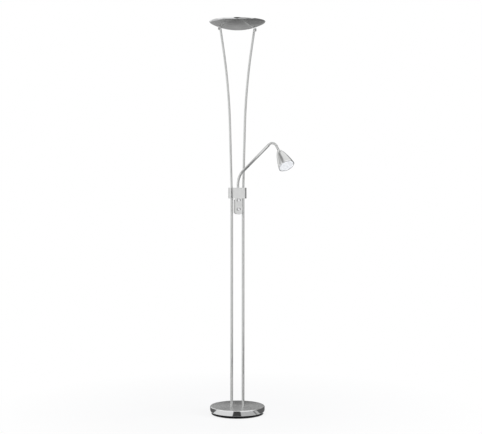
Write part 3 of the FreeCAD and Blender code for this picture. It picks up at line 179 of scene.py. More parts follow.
def mirrored(bm):
    """Turns a shape into its mirror image across the middle of the lamp."""
    bmesh.ops.scale(bm, vec=(-1, 1, 1), verts=bm.verts)
    bmesh.ops.recalc_face_normals(bm, faces=bm.faces)
    return bm


def arc(centre, radius, start, end, steps):
    """Points on an arc from one angle to another, in degrees."""
    angles = [math.radians(start + (end - start) * step / steps) for step in range(steps + 1)]
    return [(centre[0] + radius * math.cos(angle), centre[1] + radius * math.sin(angle)) for angle in angles]


def add(target, source, place=None):
    """Adds one shape to another, where place puts it."""
    if place is not None:
        bmesh.ops.transform(source, matrix=place, verts=source.verts)
    mesh = as_mesh("spare", source)
    target.from_mesh(mesh)
    bpy.data.meshes.remove(mesh)


def along(start, direction, forward=(0, 1, 0)):
    """A placement whose Z axis points along direction, with Y as near as it can be to forward."""
    up = Vector(direction).normalized()
    side = Vector(forward).cross(up).normalized()
    turn = Matrix((side, up.cross(side), up)).transposed().to_4x4()
    return Matrix.Translation(Vector(start)) @ turn


def as_mesh(name, bm):
    mesh = bpy.data.meshes.new(name)
    bm.to_mesh(mesh)
    bm.free()
    return mesh


def in_scene(name, data):
    obj = bpy.data.objects.new(name, data)
    bpy.context.scene.collection.objects.link(obj)
    return obj


def piece(name, bm, body, finish, replaces=(), place=None, own=None, trim=None, trimmed=None):
    """Makes a shape a piece of the lamp, on a body and in the stead of the nodes that it replaces.

    The attribute own_place keeps where each point lay before place moved it, or what own makes of that,
    for patterns to lie on. The faces whose middles trimmed picks have the finish trim. Turned and bent
    faces, of up to four corners, are shaded smooth.
    """
    own_place = bm.verts.layers.float_vector.new("own_place")
    for vert in bm.verts:
        vert[own_place] = own(vert.co) if own else vert.co
    if trim:
        for face in bm.faces:
            face.material_index = int(trimmed(face.calc_center_median()))
    matrix = Matrix.Scale(MM, 4)
    if place is not None:
        matrix = matrix @ place
    bmesh.ops.transform(bm, matrix=matrix, verts=bm.verts)
    mesh = as_mesh(name, bm)
    mesh.set_sharp_from_angle(angle=SHARP_ANGLE)
    for polygon in mesh.polygons:
        polygon.use_smooth = len(polygon.vertices) < 5
    mesh.materials.append(finish)
    if trim:
        mesh.materials.append(trim)
    obj = in_scene(name, mesh)
    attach(obj, body)
    if replaces:
        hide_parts(*replaces)


# Finishes

class Finish:
    """One material's nodes."""

    def __init__(self, name, colour, roughness, metallic=0.0):
        self.material = bpy.data.materials.new(name)
        self.material.use_nodes = True
        self.nodes = self.material.node_tree.nodes
        self.links = self.material.node_tree.links
        self.shader = self.nodes["Principled BSDF"]
        self.colour = colour
        self.shader.inputs["Base Color"].default_value = (*colour, 1)
        self.shader.inputs["Roughness"].default_value = roughness
        self.shader.inputs["Metallic"].default_value = metallic

    def node(self, kind, **settings):
        node = self.nodes.new(kind)
        for key, value in settings.items():
            setattr(node, key, value)
        return node

    def own_place(self):
        return self.node("ShaderNodeAttribute", attribute_name="own_place").outputs["Vector"]

    def object_place(self):
        return self.node("ShaderNodeTexCoord").outputs["Object"]

    def length(self, source):
        length = self.node("ShaderNodeVectorMath", operation="LENGTH")
        self.links.new(source, length.inputs[0])
        return length.outputs["Value"]

    def stretched(self, source, scale):
        mapping = self.node("ShaderNodeMapping")
        mapping.inputs["Scale"].default_value = scale
        self.links.new(source, mapping.inputs["Vector"])
        return mapping.outputs["Vector"]

    def radius_and_height(self):
        """Where a point of a turned piece lies in its outline, so that a pattern runs round it."""
        split = self.node("ShaderNodeSeparateXYZ")
        self.links.new(self.own_place(), split.inputs[0])
        flat = self.node("ShaderNodeCombineXYZ")
        self.links.new(split.outputs["X"], flat.inputs["X"])
        self.links.new(split.outputs["Y"], flat.inputs["Y"])
        both = self.node("ShaderNodeCombineXYZ")
        self.links.new(self.length(flat.outputs[0]), both.inputs["X"])
        self.links.new(split.outputs["Z"], both.inputs["Y"])
        return both.outputs[0]

    def noise(self, source, scale, detail=2.0, roughness=0.5):
        noise = self.node("ShaderNodeTexNoise")
        noise.inputs["Scale"].default_value = scale
        noise.inputs["Detail"].default_value = detail
        noise.inputs["Roughness"].default_value = roughness
        self.links.new(source, noise.inputs["Vector"])
        return noise.outputs["Fac"]

    def spread(self, source, low, high, start=0.3, end=0.7):
        """Brings what runs from start to end to run from low to high."""
        reach = self.node("ShaderNodeMapRange")
        for name, value in (("From Min", start), ("From Max", end), ("To Min", low), ("To Max", high)):
            reach.inputs[name].default_value = value
        self.links.new(source, reach.inputs["Value"])
        return reach.outputs["Result"]

    def tint(self, source, dark, light=1.0):
        """The colour times dark where the pattern is low, and times light where it is high."""
        ramp = self.node("ShaderNodeValToRGB")
        for stop, position, share in zip(ramp.color_ramp.elements, (0.3, 0.7), (dark, light)):
            stop.position = position
            stop.color = (*(min(part * share, 1) for part in self.colour), 1)
        self.links.new(source, ramp.inputs["Fac"])
        self.links.new(ramp.outputs["Color"], self.shader.inputs["Base Color"])

    def rough(self, source, low, high):
        self.links.new(self.spread(source, low, high), self.shader.inputs["Roughness"])

    def bump(self, source, depth, strength):
        """Relief of a depth in millimetres."""
        bump = self.node("ShaderNodeBump")
        bump.inputs["Strength"].default_value = strength
        bump.inputs["Distance"].default_value = depth * MM
        self.links.new(source, bump.inputs["Height"])
        self.links.new(bump.outputs["Normal"], self.shader.inputs["Normal"])

    def glowing(self, share=None):
        """Gives the material an emission instead of its shader, or in the share that is given."""
        glow = self.node("ShaderNodeEmission")
        out = glow.outputs[0]
        if share is not None:
            mix = self.node("ShaderNodeMixShader")
            for source, number in ((share, 0), (self.shader.outputs[0], 1), (out, 2)):
                self.links.new(source, mix.inputs[number])
            out = mix.outputs[0]
        self.links.new(out, self.nodes["Material Output"].inputs["Surface"])
        return glow


def spun_nickel(name, roughness, anisotropy):
    """Satin nickel with the fine rings that the lathe leaves, which fan the light out from the middle."""
    finish = Finish(name, NICKEL, roughness, 1.0)
    lines = finish.noise(finish.radius_and_height(), 2.2, 6.0, 0.7)
    clouds = finish.noise(finish.own_place(), 0.03, 3.0)
    finish.tint(clouds, 0.93, 1.03)
    finish.rough(lines, roughness * 0.8, roughness * 1.25)
    finish.bump(lines, 0.006, 0.5)
    finish.shader.inputs["Anisotropic"].default_value = anisotropy
    tangent = finish.node("ShaderNodeTangent", direction_type="RADIAL", axis="Z")
    finish.links.new(tangent.outputs[0], finish.shader.inputs["Tangent"])
    return finish.material


def tube_nickel(name, roughness):
    """Satin nickel tube, with polishing lines round it and faint handling marks."""
    finish = Finish(name, NICKEL, roughness, 1.0)
    lines = finish.noise(finish.radius_and_height(), 3.0, 4.0, 0.7)
    marks = finish.noise(finish.stretched(finish.own_place(), (0.1, 0.1, 0.012)), 1.0, 4.0)
    finish.tint(marks, 0.92, 1.03)
    finish.rough(lines, roughness * 0.8, roughness * 1.2)
    finish.bump(lines, 0.003, 0.4)
    return finish.material


def plate_nickel(name, roughness, scale):
    """Flat brushed nickel: long scratches, which run along the axis whose scale is low."""
    finish = Finish(name, NICKEL, roughness, 1.0)
    grain = finish.noise(finish.stretched(finish.own_place(), scale), 1.0, 5.0, 0.75)
    clouds = finish.noise(finish.own_place(), 0.04, 2.0)
    finish.tint(clouds, 0.94, 1.02)
    finish.rough(grain, roughness * 0.8, roughness * 1.25)
    finish.bump(grain, 0.015, 0.6)
    return finish.material


def polished(name, colour, roughness):
    """Polished metal with faint smears."""
    finish = Finish(name, colour, roughness, 1.0)
    smears = finish.noise(finish.own_place(), 0.25, 4.0)
    finish.tint(smears, 0.94)
    finish.rough(smears, roughness * 0.7, roughness * 1.5)
    return finish.material


def grainy(name, colour, roughness, scale, depth, gloss=0.5, dark=0.85, metallic=0.0, own=True):
    """Cast, moulded or rolled matter with an even fine grain; own is for pieces with an own_place."""
    finish = Finish(name, colour, roughness, metallic)
    finish.shader.inputs["Specular IOR Level"].default_value = gloss
    place = finish.own_place() if own else finish.stretched(finish.object_place(), (1 / MM,) * 3)
    grain = finish.noise(place, scale, 4.0, 0.6)
    finish.tint(grain, dark, 1.04)
    finish.rough(grain, roughness * 0.85, min(roughness * 1.15, 1))
    finish.bump(grain, depth, 0.6)
    return finish.material


def inner(name, colour, roughness, scale, depth, dark, metallic=0.0):
    """The grainy finish of a piece inside the lamp, which keeps the part's own solid."""
    return grainy(f"inner_{name}", colour, roughness, scale, depth, dark=dark, metallic=metallic, own=False)


def opal(name):
    """Milk-white plastic, faintly cloudy, with a soft gloss."""
    finish = Finish(name, (0.93, 0.935, 0.94), 0.32)
    clouds = finish.noise(finish.own_place(), 0.08, 3.0)
    finish.tint(clouds, 0.975)
    finish.rough(clouds, 0.26, 0.38)
    finish.shader.inputs["Subsurface Weight"].default_value = 0.25
    finish.shader.inputs["Subsurface Radius"].default_value = (0.004, 0.004, 0.004)
    return finish.material


NICKEL = (0.73, 0.735, 0.73)
STEEL = (0.85, 0.855, 0.86)

DISH_NICKEL = spun_nickel("dish_spun_nickel", 0.24, 0.7)
BASE_NICKEL = spun_nickel("base_spun_nickel", 0.26, 0.75)
HEAD_NICKEL = tube_nickel("head_satin_nickel", 0.18)
POLE_NICKEL = tube_nickel("pole_satin_nickel", 0.26)
ARM_NICKEL = tube_nickel("arm_satin_nickel", 0.15)
HOSE_NICKEL = tube_nickel("hose_satin_nickel", 0.2)
EAR_NICKEL = plate_nickel("ear_satin_nickel", 0.3, (1.0, 6.0, 0.2))
PLATE_NICKEL = plate_nickel("plate_brushed_nickel", 0.32, (6.0, 1.0, 0.12))
CLAMP_NICKEL = plate_nickel("clamp_brushed_nickel", 0.32, (6.0, 6.0, 0.12))
HOUSING_NICKEL = plate_nickel("housing_satin_nickel", 0.34, (1.0, 6.0, 0.12))
LIP_STEEL = polished("lip_polished_steel", STEEL, 0.08)
KNOB_STEEL = polished("knob_polished_steel", STEEL, 0.07)
SCREW_STEEL = polished("screw_polished_steel", (0.55, 0.55, 0.54), 0.2)
BLACK = grainy("black_moulded_plastic", (0.009, 0.009, 0.01), 0.6, 1.4, 0.03, gloss=0.12)
FELT = grainy("black_felt", (0.012, 0.012, 0.013), 0.95, 2.5, 0.4, gloss=0.1)
RUBBER = grainy("gland_rubber", (0.02, 0.02, 0.02), 0.65, 1.6, 0.03)
OPAL_DISH = opal("dish_opal_plastic")
OPAL_LENS = opal("lens_opal_plastic")

INNER_PIECES = (
    (inner("zinc", (0.6, 0.61, 0.62), 0.38, 0.5, 0.02, 0.85, 1.0),
     ("base_screws", "pole_nipples", "nipple_nuts_and_washers", "pole_couplings", "dimmer_nuts",
      "knob_shaft_upper", "knob_shaft_lower", "head_nut")),
    (inner("aluminium", (0.7, 0.7, 0.71), 0.4, 0.5, 0.02, 0.9, 1.0),
     ("head_heat_sink", "dish_heat_spreader")),
    (inner("cast_iron", (0.06, 0.06, 0.062), 0.75, 0.5, 0.3, 0.75, 0.6), ("base_weight",)),
    (inner("black_plastic", (0.02, 0.02, 0.022), 0.5, 1.4, 0.03, 0.85),
     ("led_driver", "dimmer_upper", "dimmer_lower")),
    (inner("green_board", (0.03, 0.16, 0.06), 0.45, 0.6, 0.01, 0.8), ("dimmer_board",)),
    (inner("white_board", (0.82, 0.83, 0.82), 0.45, 0.5, 0.01, 0.94), ("head_led_board", "dish_led_board")),
    (inner("reflector", (0.88, 0.88, 0.87), 0.3, 0.3, 0.01, 0.96), ("head_reflector",)),
)


def dress_inner_pieces():
    """Gives the solids inside the lamp, which stay as the part made them, their finishes."""
    for finish, names in INNER_PIECES:
        for name in names:
            materials = frame["nodes"][name].data.materials
            materials.clear()
            materials.append(finish)


# Dish

def make_dish():
    """The spun bowl with its turned-out lip, which is polished, and the opal cover inside the lip."""
    # From the middle up the outside, round the lip and back down the inside
    bowl = Outline(0, 1754.5).bend(121, 1784.1, -262.1, 22).bend(127.4, 1791.4, -12, 8)
    bowl.bend(126.5, 1791.9, -0.62, 4).bend(120.4, 1784.6, 12, 8).bend(0, 1755.7, 260.9, 22)
    piece("dish_bowl_spun", bowl.turned(160), "dish", DISH_NICKEL, ["dish_bowl"],
          trim=LIP_STEEL, trimmed=lambda spot: spot.z > 1784.2 and spot.xy.length > 120.6)
    cover = Outline(0, 1785.3).to((118.6, 1785.3)).bend(119.7, 1786.2, -1.0, 4)
    cover.bend(118.6, 1787.2, -1.0, 4).bend(0, 1787.25, -90000, 6)
    piece("dish_diffuser_opal", cover.turned(128), "dish", OPAL_DISH, ["dish_diffuser"])


def make_ears():
    """The two welded plates under the dish and the button screws that they turn on."""
    radius = 7.0
    for side, sign in SIDES:
        outer = EAR_INNER + EAR_THICKNESS
        outline = arc((0, PIVOT_HEIGHT), radius, 180, 360, 16)
        outline += [(radius, 1765.6), (0, 1765.2), (-radius, 1765.6)]
        plate = bevelled(slab(outline, EAR_INNER, outer, "X"), 0.35)
        if sign < 0:
            mirrored(plate)
        piece(f"dish_ear_{side}", plate, "dish", EAR_NICKEL,
              ["dish_ears"] if sign < 0 else ())
        # The shank, the button head and its shallow socket
        screw = Outline(0, -2.4).to((2.9, -2.4), (2.9, 0), (5.0, 0), (5.0, 0.9))
        screw.bend(2.2, 2.0, -5.2).to((1.9, 1.9), (1.7, 0.9), (0, 0.9))
        place = along((sign * (outer + EAR_GAP), 0, PIVOT_HEIGHT), (sign, 0, 0))
        piece(f"pivot_screw_{side}", screw.turned(), "stand", SCREW_STEEL,
              ["pivot_screws"] if sign < 0 else (), place)


# Base

def make_base():
    """The spun cover, the black foot and felt pad below it, and the cord's gland at the back."""
    cover = Outline(0, 37.5).to((121.2, 37.5)).bend(125, 33.7, 3.8, 8)
    cover.to((125, 14.0), (124.6, 13.5), (123.8, 13.5), (123.8, 33.5)).bend(121, 36.3, -2.8, 5).to((0, 36.3))
    piece("base_cover_spun", cover.turned(160), "stand", BASE_NICKEL, ["base_cover"],
          trim=LIP_STEEL, trimmed=lambda spot: spot.z < 36.6 and spot.xy.length > 123.9)
    tray = Outline(0, 2).to((118.5, 2), (119, 2.5), (119, 13.5), (123.6, 13.5), (123.6, 15.4), (0, 15.4))
    piece("base_tray_ring", tray.turned(128), "stand", BLACK, ["base_tray"])
    pad = Outline(0, 0).to((111.5, 0), (112, 0.5), (112, 2), (0, 2))
    piece("base_felt", pad.turned(96), "stand", FELT, ["base_felt_pad"])
    gland = Outline(3.5, 0).to((3.9, -0.3), (5.2, -0.3), (5.5, 0), (5.5, 1.3), (5.2, 1.6), (4.7, 1.6))
    gland.to((4.7, 7.6), (3.5, 7.6)).close()
    piece("cord_gland_bush", gland.turned(), "stand", RUBBER, ["cord_gland"],
          along((0, 120.6, 7.9), (0, -1, 0), (0, 0, 1)))


# Poles

def upper_pole():
    """The right upper pole, and where on its centre line its bend ends and where its top is."""
    bm = bmesh.new()
    foot = Vector((POLE_OFFSET + 0.3 * math.tan(LOW_LEAN), 0, POLE_JOINT + 0.3))
    bmesh.ops.create_circle(bm, cap_ends=True, segments=40, radius=5.0,
                            matrix=along(foot, (math.sin(LOW_LEAN), 0, math.cos(LOW_LEAN))))
    front = drawn_out(bm, bm.faces[:], BEND_START - foot)
    swept = bmesh.ops.spin(bm, geom=front, cent=BEND_CENTRE, axis=(0, 1, 0), angle=HIGH_LEAN - LOW_LEAN,
                           steps=14)
    front = only(FACE, swept["geom_last"])
    bend_end = front[0].calc_center_median()
    length = (PIVOT_HEIGHT - EYE_DROP - bend_end.z) / math.cos(HIGH_LEAN)
    way = TOP_WAY * length
    drawn_out(bm, front, way)
    bmesh.ops.recalc_face_normals(bm, faces=bm.faces)
    return bm, bend_end, bend_end + way


def straightened(spot, bend_end):
    """A point of an upper pole as it would lie in a straight tube."""
    if spot.z < BEND_START.z:
        middle = BEND_START.x - (BEND_START.z - spot.z) * math.tan(LOW_LEAN)
    elif spot.z < bend_end.z:
        middle = BEND_CENTRE.x - math.sqrt(max(BEND_RADIUS ** 2 - (spot.z - BEND_CENTRE.z) ** 2, 0))
    else:
        middle = bend_end.x + (spot.z - bend_end.z) * math.tan(HIGH_LEAN)
    return Vector((abs(spot.x) - middle, spot.y, spot.z))


def pole_eye(foot):
    """The solid eye in the right upper pole's top, with a flat for the ear."""
    length = 16.0
    outline = Outline(0, -3).to((4.0, -3), (4.0, 0), (4.9, 0.15), (5.0, 0.4), (5.0, length - 3))
    eye = outline.bend(0, length - 0.4, -6.0, 8).turned()
    bmesh.ops.transform(eye, matrix=along(foot, TOP_WAY), verts=eye.verts)
    cut = bmesh.ops.bisect_plane(eye, geom=eye.verts[:] + eye.edges[:] + eye.faces[:], dist=WELD,
                                 plane_co=(EAR_INNER - EAR_GAP, 0, 0), plane_no=(1, 0, 0), clear_outer=True)
    bmesh.ops.contextual_create(eye, geom=only(EDGE, cut["geom_cut"]))
    return eye


def make_poles():
    """The straight lower poles, and the bent upper ones with an eye in each top."""
    for side, sign in SIDES:
        joint = POLE_JOINT - 0.1
        lower = Outline(5.0, 36.4).to((6.0, 36.4), (6.0, joint), (5.0, joint)).close()
        piece(f"pole_lower_{side}", lower.turned(48), "stand", POLE_NICKEL,
              [f"lower_pole_{side}"], Matrix.Translation((sign * POLE_OFFSET, 0, 0)))
        upper, bend_end, top = upper_pole()
        eye = pole_eye(top)
        if sign < 0:
            mirrored(upper)
            mirrored(eye)
        piece(f"pole_upper_{side}", upper, "stand", POLE_NICKEL, [f"upper_pole_{side}"],
              own=lambda spot: straightened(spot, bend_end))
        piece(f"pole_eye_{side}", eye, "stand", EAR_NICKEL, ["pole_ends"] if sign < 0 else ())


# Bracket

def make_bracket():
    """Two clamp halves about the poles, a hair apart, and the four screws that draw them together."""
    left, right, split = (-POLE_OFFSET, 0), (POLE_OFFSET, 0), 0.12
    outline = arc(left, LOBE, 180, 270, 18) + [(-POLE_OFFSET, PAD_FRONT), (POLE_OFFSET, PAD_FRONT)]
    front = bevelled(slab(outline + arc(right, LOBE, 270, 360, 18), BRACKET_BOTTOM, BRACKET_TOP, "Z"), 0.5)
    piece("bracket_half_front", front, "stand", CLAMP_NICKEL, ["bracket_front"])
    outline = arc(right, LOBE, 0, 90, 18) + arc(left, LOBE, 90, 180, 18)
    back = slab([(x, y + split) for x, y in outline], BRACKET_BOTTOM, BRACKET_TOP, "Z")
    bmesh.ops.scale(back, vec=(1, (LOBE - split) / LOBE, 1), verts=back.verts)
    bevelled(back, 0.5)
    piece("bracket_half_back", back, "stand", CLAMP_NICKEL, ["bracket_back"])
    screws, across, inset = bmesh.new(), 13.0, 11.0
    for x in (-across, across):
        for z in (BRACKET_BOTTOM + inset, BRACKET_TOP - inset):
            add(screws, hex_screw(), along((x, LOBE, z), (0, 1, 0), (0, 0, 1)))
    piece("bracket_clamp_screws", screws, "stand", SCREW_STEEL, ["bracket_screws"])


def hex_screw():
    """A clamp screw's head, flush with the bracket, with a six-sided socket."""
    head = Outline(4.0, 0).to((4.0, -2.6), (0, -2.6)).turned(36)
    rim = [edge for edge in head.edges if edge.is_boundary]
    socket = bmesh.ops.create_circle(head, segments=6, radius=2.3)
    mouth = list({edge for vert in socket["verts"] for edge in vert.link_edges})
    bmesh.ops.triangle_fill(head, edges=rim + mouth, use_beauty=True, use_dissolve=False)
    walls = bmesh.ops.extrude_edge_only(head, edges=mouth)["geom"]
    bottom = only(VERT, walls)
    bmesh.ops.translate(head, vec=(0, 0, -1.8), verts=bottom)
    floor = [edge for edge in only(EDGE, walls) if all(vert in bottom for vert in edge.verts)]
    bmesh.ops.contextual_create(head, geom=floor)
    bmesh.ops.recalc_face_normals(head, faces=head.faces)
    return head


def stem_outline(inset, top):
    """The stem's outline from its upper left corner down, round its foot and up to its upper right one."""
    half, radius, bottom = STEM_HALF - inset, STEM_ROUND - inset, STEM_BOTTOM + inset
    reach = math.degrees(math.asin(half / radius))
    return [(-half, top)] + arc((0, bottom + radius), radius, 270 - reach, 270 + reach, 28) + [(half, top)]


def make_plate():
    """The T-shaped front plate, the switch housing behind its stem with its neck, and the two knobs."""
    half, corner = 28, 2
    outline = stem_outline(0, BRACKET_BOTTOM) + [(half, BRACKET_BOTTOM)]
    outline += arc((half - corner, BRACKET_TOP - corner), corner, 0, 90, 5)
    outline += arc((corner - half, BRACKET_TOP - corner), corner, 90, 180, 5) + [(-half, BRACKET_BOTTOM)]
    plate = slab(outline, PAD_FRONT - PLATE_THICKNESS, PAD_FRONT, "Y")
    piece("front_plate_brushed", bevelled(plate, 0.3), "stand", PLATE_NICKEL, ["front_plate"])
    top = BRACKET_BOTTOM - 5.0
    body = bevelled(slab(stem_outline(1.0, top), PAD_FRONT, PAD_FRONT + 28.0, "Y"), 0.8, 3)
    low, high, half = top - 1, BRACKET_BOTTOM + 3.9, 11.2
    neck = slab([(-half, low), (half, low), (half, high), (-half, high)], PAD_FRONT, PAD_FRONT + 13.6, "Y")
    add(body, bevelled(neck, 0.4))
    piece("switch_housing_moulded", body, "stand", HOUSING_NICKEL, ["switch_housing"])
    for name, height in KNOB_HEIGHTS:
        # The hollow back, the foot, the side, the rounded edge, the ring and the dished face
        knob = Outline(0, 3.0).to((6.8, 3.0), (6.8, 0.2), (7.8, 0), (8.0, 0.2), (8.0, 6.0))
        knob.bend(7.0, 7.0, -1.0).to((6.5, 7.0)).bend(6.2, 6.85, -0.5, 3).bend(0, 5.7, 17.5, 12)
        place = along((0, PAD_FRONT - PLATE_THICKNESS - KNOB_GAP, height), (0, -1, 0), (0, 0, 1))
        piece(f"knob_{name}_dished", knob.turned(64), f"{name}_knob", KNOB_STEEL,
              [f"knob_{name}"], place)


# Reading arm

class Hose:
    """One flexible hose: links with a ball below and a socket above, ribbed between."""

    BORE = 2.0
    RIBS = 3
    RIB_DEPTH = 0.75
    SOCKET_WALL = 1.0
    SOCKET_PLAY = 0.2
    NECK_SHARE = 0.78
    LIP_SHARE = 0.34
    # The part's sockets are faceted: their facets' play, and a facet's distance as a share of a corner's
    FACET_PLAY = 0.15
    FACET_SHARE = 0.9205
    LARGEST_TURN = math.radians(20.5)

    def __init__(self, radius, length):
        self.radius, self.length = radius, length
        self.groove = radius - self.RIB_DEPTH
        self.ball = self.groove - self.SOCKET_WALL
        self.socket = self.ball + self.SOCKET_PLAY
        self.neck = self.NECK_SHARE * self.ball
        corner = (self.ball + self.FACET_PLAY) / self.FACET_SHARE
        self.lip = self.LIP_SHARE * corner
        # The rim of the link below comes up to here at its largest turn, and the first rib clears it
        reach = self.lip * math.cos(self.LARGEST_TURN) + radius * math.sin(self.LARGEST_TURN)
        self.first_rib = reach + self.FACET_PLAY
        self.pitch = length / self.RIBS
        self.rib = self.pitch - (self.first_rib - self.lip)

    def ball_end(self):
        """From the bore round the ball to its neck and out to the first rib's foot."""
        low, high = math.asin(self.BORE / self.ball), math.acos(self.NECK_SHARE)
        outline = Outline(self.BORE, -self.ball * math.cos(low))
        outline.bend(self.neck, self.ball * math.sin(high), -self.ball, 12)
        return outline.to((self.neck, self.first_rib - 0.3)).bend(self.neck + 0.3, self.first_rib, 0.3, 3)

    def add_rib(self, outline, foot, head):
        """A rib between two heights, rounded at both."""
        root, rounding = self.radius - self.RIB_DEPTH * 0.6, self.rib * 0.4
        outline.to((root, foot)).bend(self.radius, foot + rounding, -self.rib * 0.42, 4)
        outline.to((self.radius, head - rounding)).bend(root, head, -self.rib * 0.42, 4)

    def add_socket(self, outline, centre):
        """From the last rib's head over the rim and down inside the socket to the bore."""
        rim = math.sqrt(self.socket ** 2 - self.lip ** 2)
        outline.to((rim + 0.25, centre + self.lip)).bend(rim, centre + self.lip - 0.2, -0.25, 2)
        outline.bend(self.BORE, centre - math.sqrt(self.socket ** 2 - self.BORE ** 2), self.socket, 12)

    def link(self):
        """One whole link."""
        outline = self.ball_end()
        for number in range(self.RIBS):
            foot = self.first_rib + number * self.pitch
            head = foot + self.rib
            self.add_rib(outline, foot, head)
            if number < self.RIBS - 1:
                gap = self.pitch - self.rib
                outline.to((self.groove + 0.05, head + gap * 0.3), (self.groove + 0.05, head + gap * 0.7))
        self.add_socket(outline, self.length)
        return outline.close().turned()


LOWER_HOSE = Hose(6.0, 12.0)
UPPER_HOSE = Hose(5.25, 10.4)
HALF_COLLAR = 1.5
TUBE_LENGTH = 229.0


def hose_joints():
    """By the body that it carries, each hose joint's place and the way from it to the next one."""
    kinds = ("lower_side", "lower_bend", "upper_side", "upper_bend")
    joints = [joint for joint in frame["joints"] if joint["name"].startswith(kinds)]
    places = [Vector(joint["pos_m"]) / MM for joint in joints]
    ways = [(following - place).normalized() for place, following in zip(places, places[1:])]
    ways.append(ways[-1])
    return {joint["child"]: (place, way) for joint, place, way in zip(joints, places, ways)}


def make_hoses(joints):
    """The lower hose's root in the bracket, and both hoses' links."""
    hose = LOWER_HOSE
    foot = -hose.length / 2
    spigot = foot - 16.0
    root = Outline(hose.BORE, spigot).to((4.9, spigot), (4.9, foot), (hose.groove, foot))
    root.to((hose.groove, hose.lip - hose.rib))
    hose.add_rib(root, hose.lip - hose.rib, hose.lip)
    hose.add_socket(root, 0)
    piece("arm_root", root.close().turned(), "stand", HOSE_NICKEL, ["arm_root_socket"],
          along(joints["lower_link_1"][0], (0, 0, 1), ARM_ACROSS))
    for hose, side, count in ((LOWER_HOSE, "lower", 6), (UPPER_HOSE, "upper", 7)):
        for number in range(1, count + 1):
            place, way = joints[f"{side}_link_{number}"]
            piece(f"{side}_hose_{number}", hose.link(), f"{side}_link_{number}", HOSE_NICKEL,
                  [f"{side}_hose_link_{number}"], along(place, way, ARM_ACROSS))


def make_tube(joints):
    """The arm's straight tube with a collar at each end."""
    hose = LOWER_HOSE
    place, way = joints["arm"]
    turn = along(place, way, ARM_ACROSS)
    low = hose.first_rib + hose.rib + HALF_COLLAR
    high = low + TUBE_LENGTH
    collar = hose.ball_end().to((5.7, hose.first_rib)).bend(6.0, hose.first_rib + 0.3, -0.3, 3)
    collar.to((6.0, low), (5.1, low), (5.1, low + 3), (hose.BORE, low + 3)).close()
    piece("tube_collar_lower", collar.turned(), "arm", ARM_NICKEL,
          ["tube_lower_collar"], turn)
    tube = Outline(5.2, low).to((6.05, low)).bend(6.25, low + 0.2, -0.2, 3)
    tube.to((6.25, high - 0.3)).bend(5.95, high, -0.3, 3).to((5.2, high)).close()
    piece("arm_tube_satin", tube.turned(56), "arm", ARM_NICKEL, ["arm_tube"], turn)
    hose = UPPER_HOSE
    joint = (joints["upper_link_1"][0] - place).length
    collar = Outline(hose.BORE, high - 3).to((5.1, high - 3), (5.1, high), (hose.radius, high))
    collar.to((hose.radius, joint + hose.lip - 0.4)).bend(hose.radius - 0.3, joint + hose.lip, -0.35, 3)
    hose.add_socket(collar, joint)
    piece("tube_collar_upper", collar.close().turned(), "arm", HOSE_NICKEL,
          ["tube_upper_collar"], turn)


# Reading head

def make_head(joints):
    """The bell-shaped head: its ferrule, shell, rim ring, opal cover and two side screws."""
    hose = UPPER_HOSE
    turn = along(joints["head"][0], joints["upper_link_7"][1], ARM_ACROSS)
    stop = hose.first_rib + hose.rib + HALF_COLLAR
    ferrule = hose.ball_end().to((hose.radius - 0.3, hose.first_rib))
    ferrule.bend(hose.radius, hose.first_rib + 0.3, -0.3, 3).to((hose.radius, stop), (4.4, stop))
    ferrule.to((4.4, stop + 9), (hose.BORE, stop + 9)).close()
    piece("head_ferrule_satin", ferrule.turned(), "head", HOSE_NICKEL, ["head_ferrule"], turn)

    neck = turn @ Matrix.Translation((0, 0, stop))
    mouth = HEAD_LENGTH - 5.5
    # Up the outside to the mouth and back down the inside
    shell = Outline(4.5, 0).to((6.1, 0)).bend(6.6, 0.5, -0.5, 3).bend(18.5, 22, -89, 10)
    shell.bend(34.6, mouth, -360, 18).to((33.4, mouth)).bend(17.3, 22.6, 360, 14)
    shell.to((6.6, 2), (4.5, 2)).close()
    piece("head_shell_satin", shell.turned(96), "head", HEAD_NICKEL, ["head_shell"], neck)

    lens_top = HEAD_LENGTH - 1.2
    lens_back = lens_top - 2.5
    ring = Outline(33.45, lens_back).to((33.45, HEAD_LENGTH - 0.3)).bend(33.75, HEAD_LENGTH, 0.3, 3)
    ring.to((35.1, HEAD_LENGTH)).bend(35.6, HEAD_LENGTH - 0.5, 0.5, 4).to((34.75, mouth + 0.2))
    ring.bend(34.5, mouth, 0.25, 2).to((33.2, mouth), (31.6, mouth - 6), (30.4, mouth - 6), (32.0, lens_back))
    piece("head_rim_steel", ring.close().turned(96), "head", LIP_STEEL,
          ["head_rim_ring"], neck)

    lens = Outline(0, lens_back).to((33.3, lens_back), (33.3, lens_top - 0.4)).bend(32.9, lens_top, -0.4, 3)
    lens.bend(0, lens_top + 0.5, -1100, 8)
    piece("head_lens_opal", lens.turned(96), "head", OPAL_LENS, ["head_lens"], neck)

    screws = bmesh.new()
    for degrees in (-60, 120):
        pin = Outline(0, -3).to((1.45, -3), (1.45, 0.2)).bend(1.0, 0.5, -0.6, 3).to((0, 0.5))
        out = Matrix.Rotation(math.radians(degrees), 4, "Z") @ Matrix.Translation((34.1, 0, mouth - 3))
        add(screws, pin.turned(24), out @ Matrix.Rotation(math.radians(90), 4, "Y"))
    piece("head_side_screws", screws, "head", SCREW_STEEL, ["head_screws"], neck)


# Stage, in metres

def seen_or_mirrored(nodes, links):
    """1 for what the camera sees straight on, in metal or through glass, and 0 for light on the lamp."""
    path = nodes.new("ShaderNodeLightPath")
    found = path.outputs["Is Camera Ray"]
    for kind in ("Is Glossy Ray", "Is Transmission Ray"):
        either = nodes.new("ShaderNodeMath")
        either.operation = "MAXIMUM"
        links.new(found, either.inputs[0])
        links.new(path.outputs[kind], either.inputs[1])
        found = either.outputs[0]
    return found


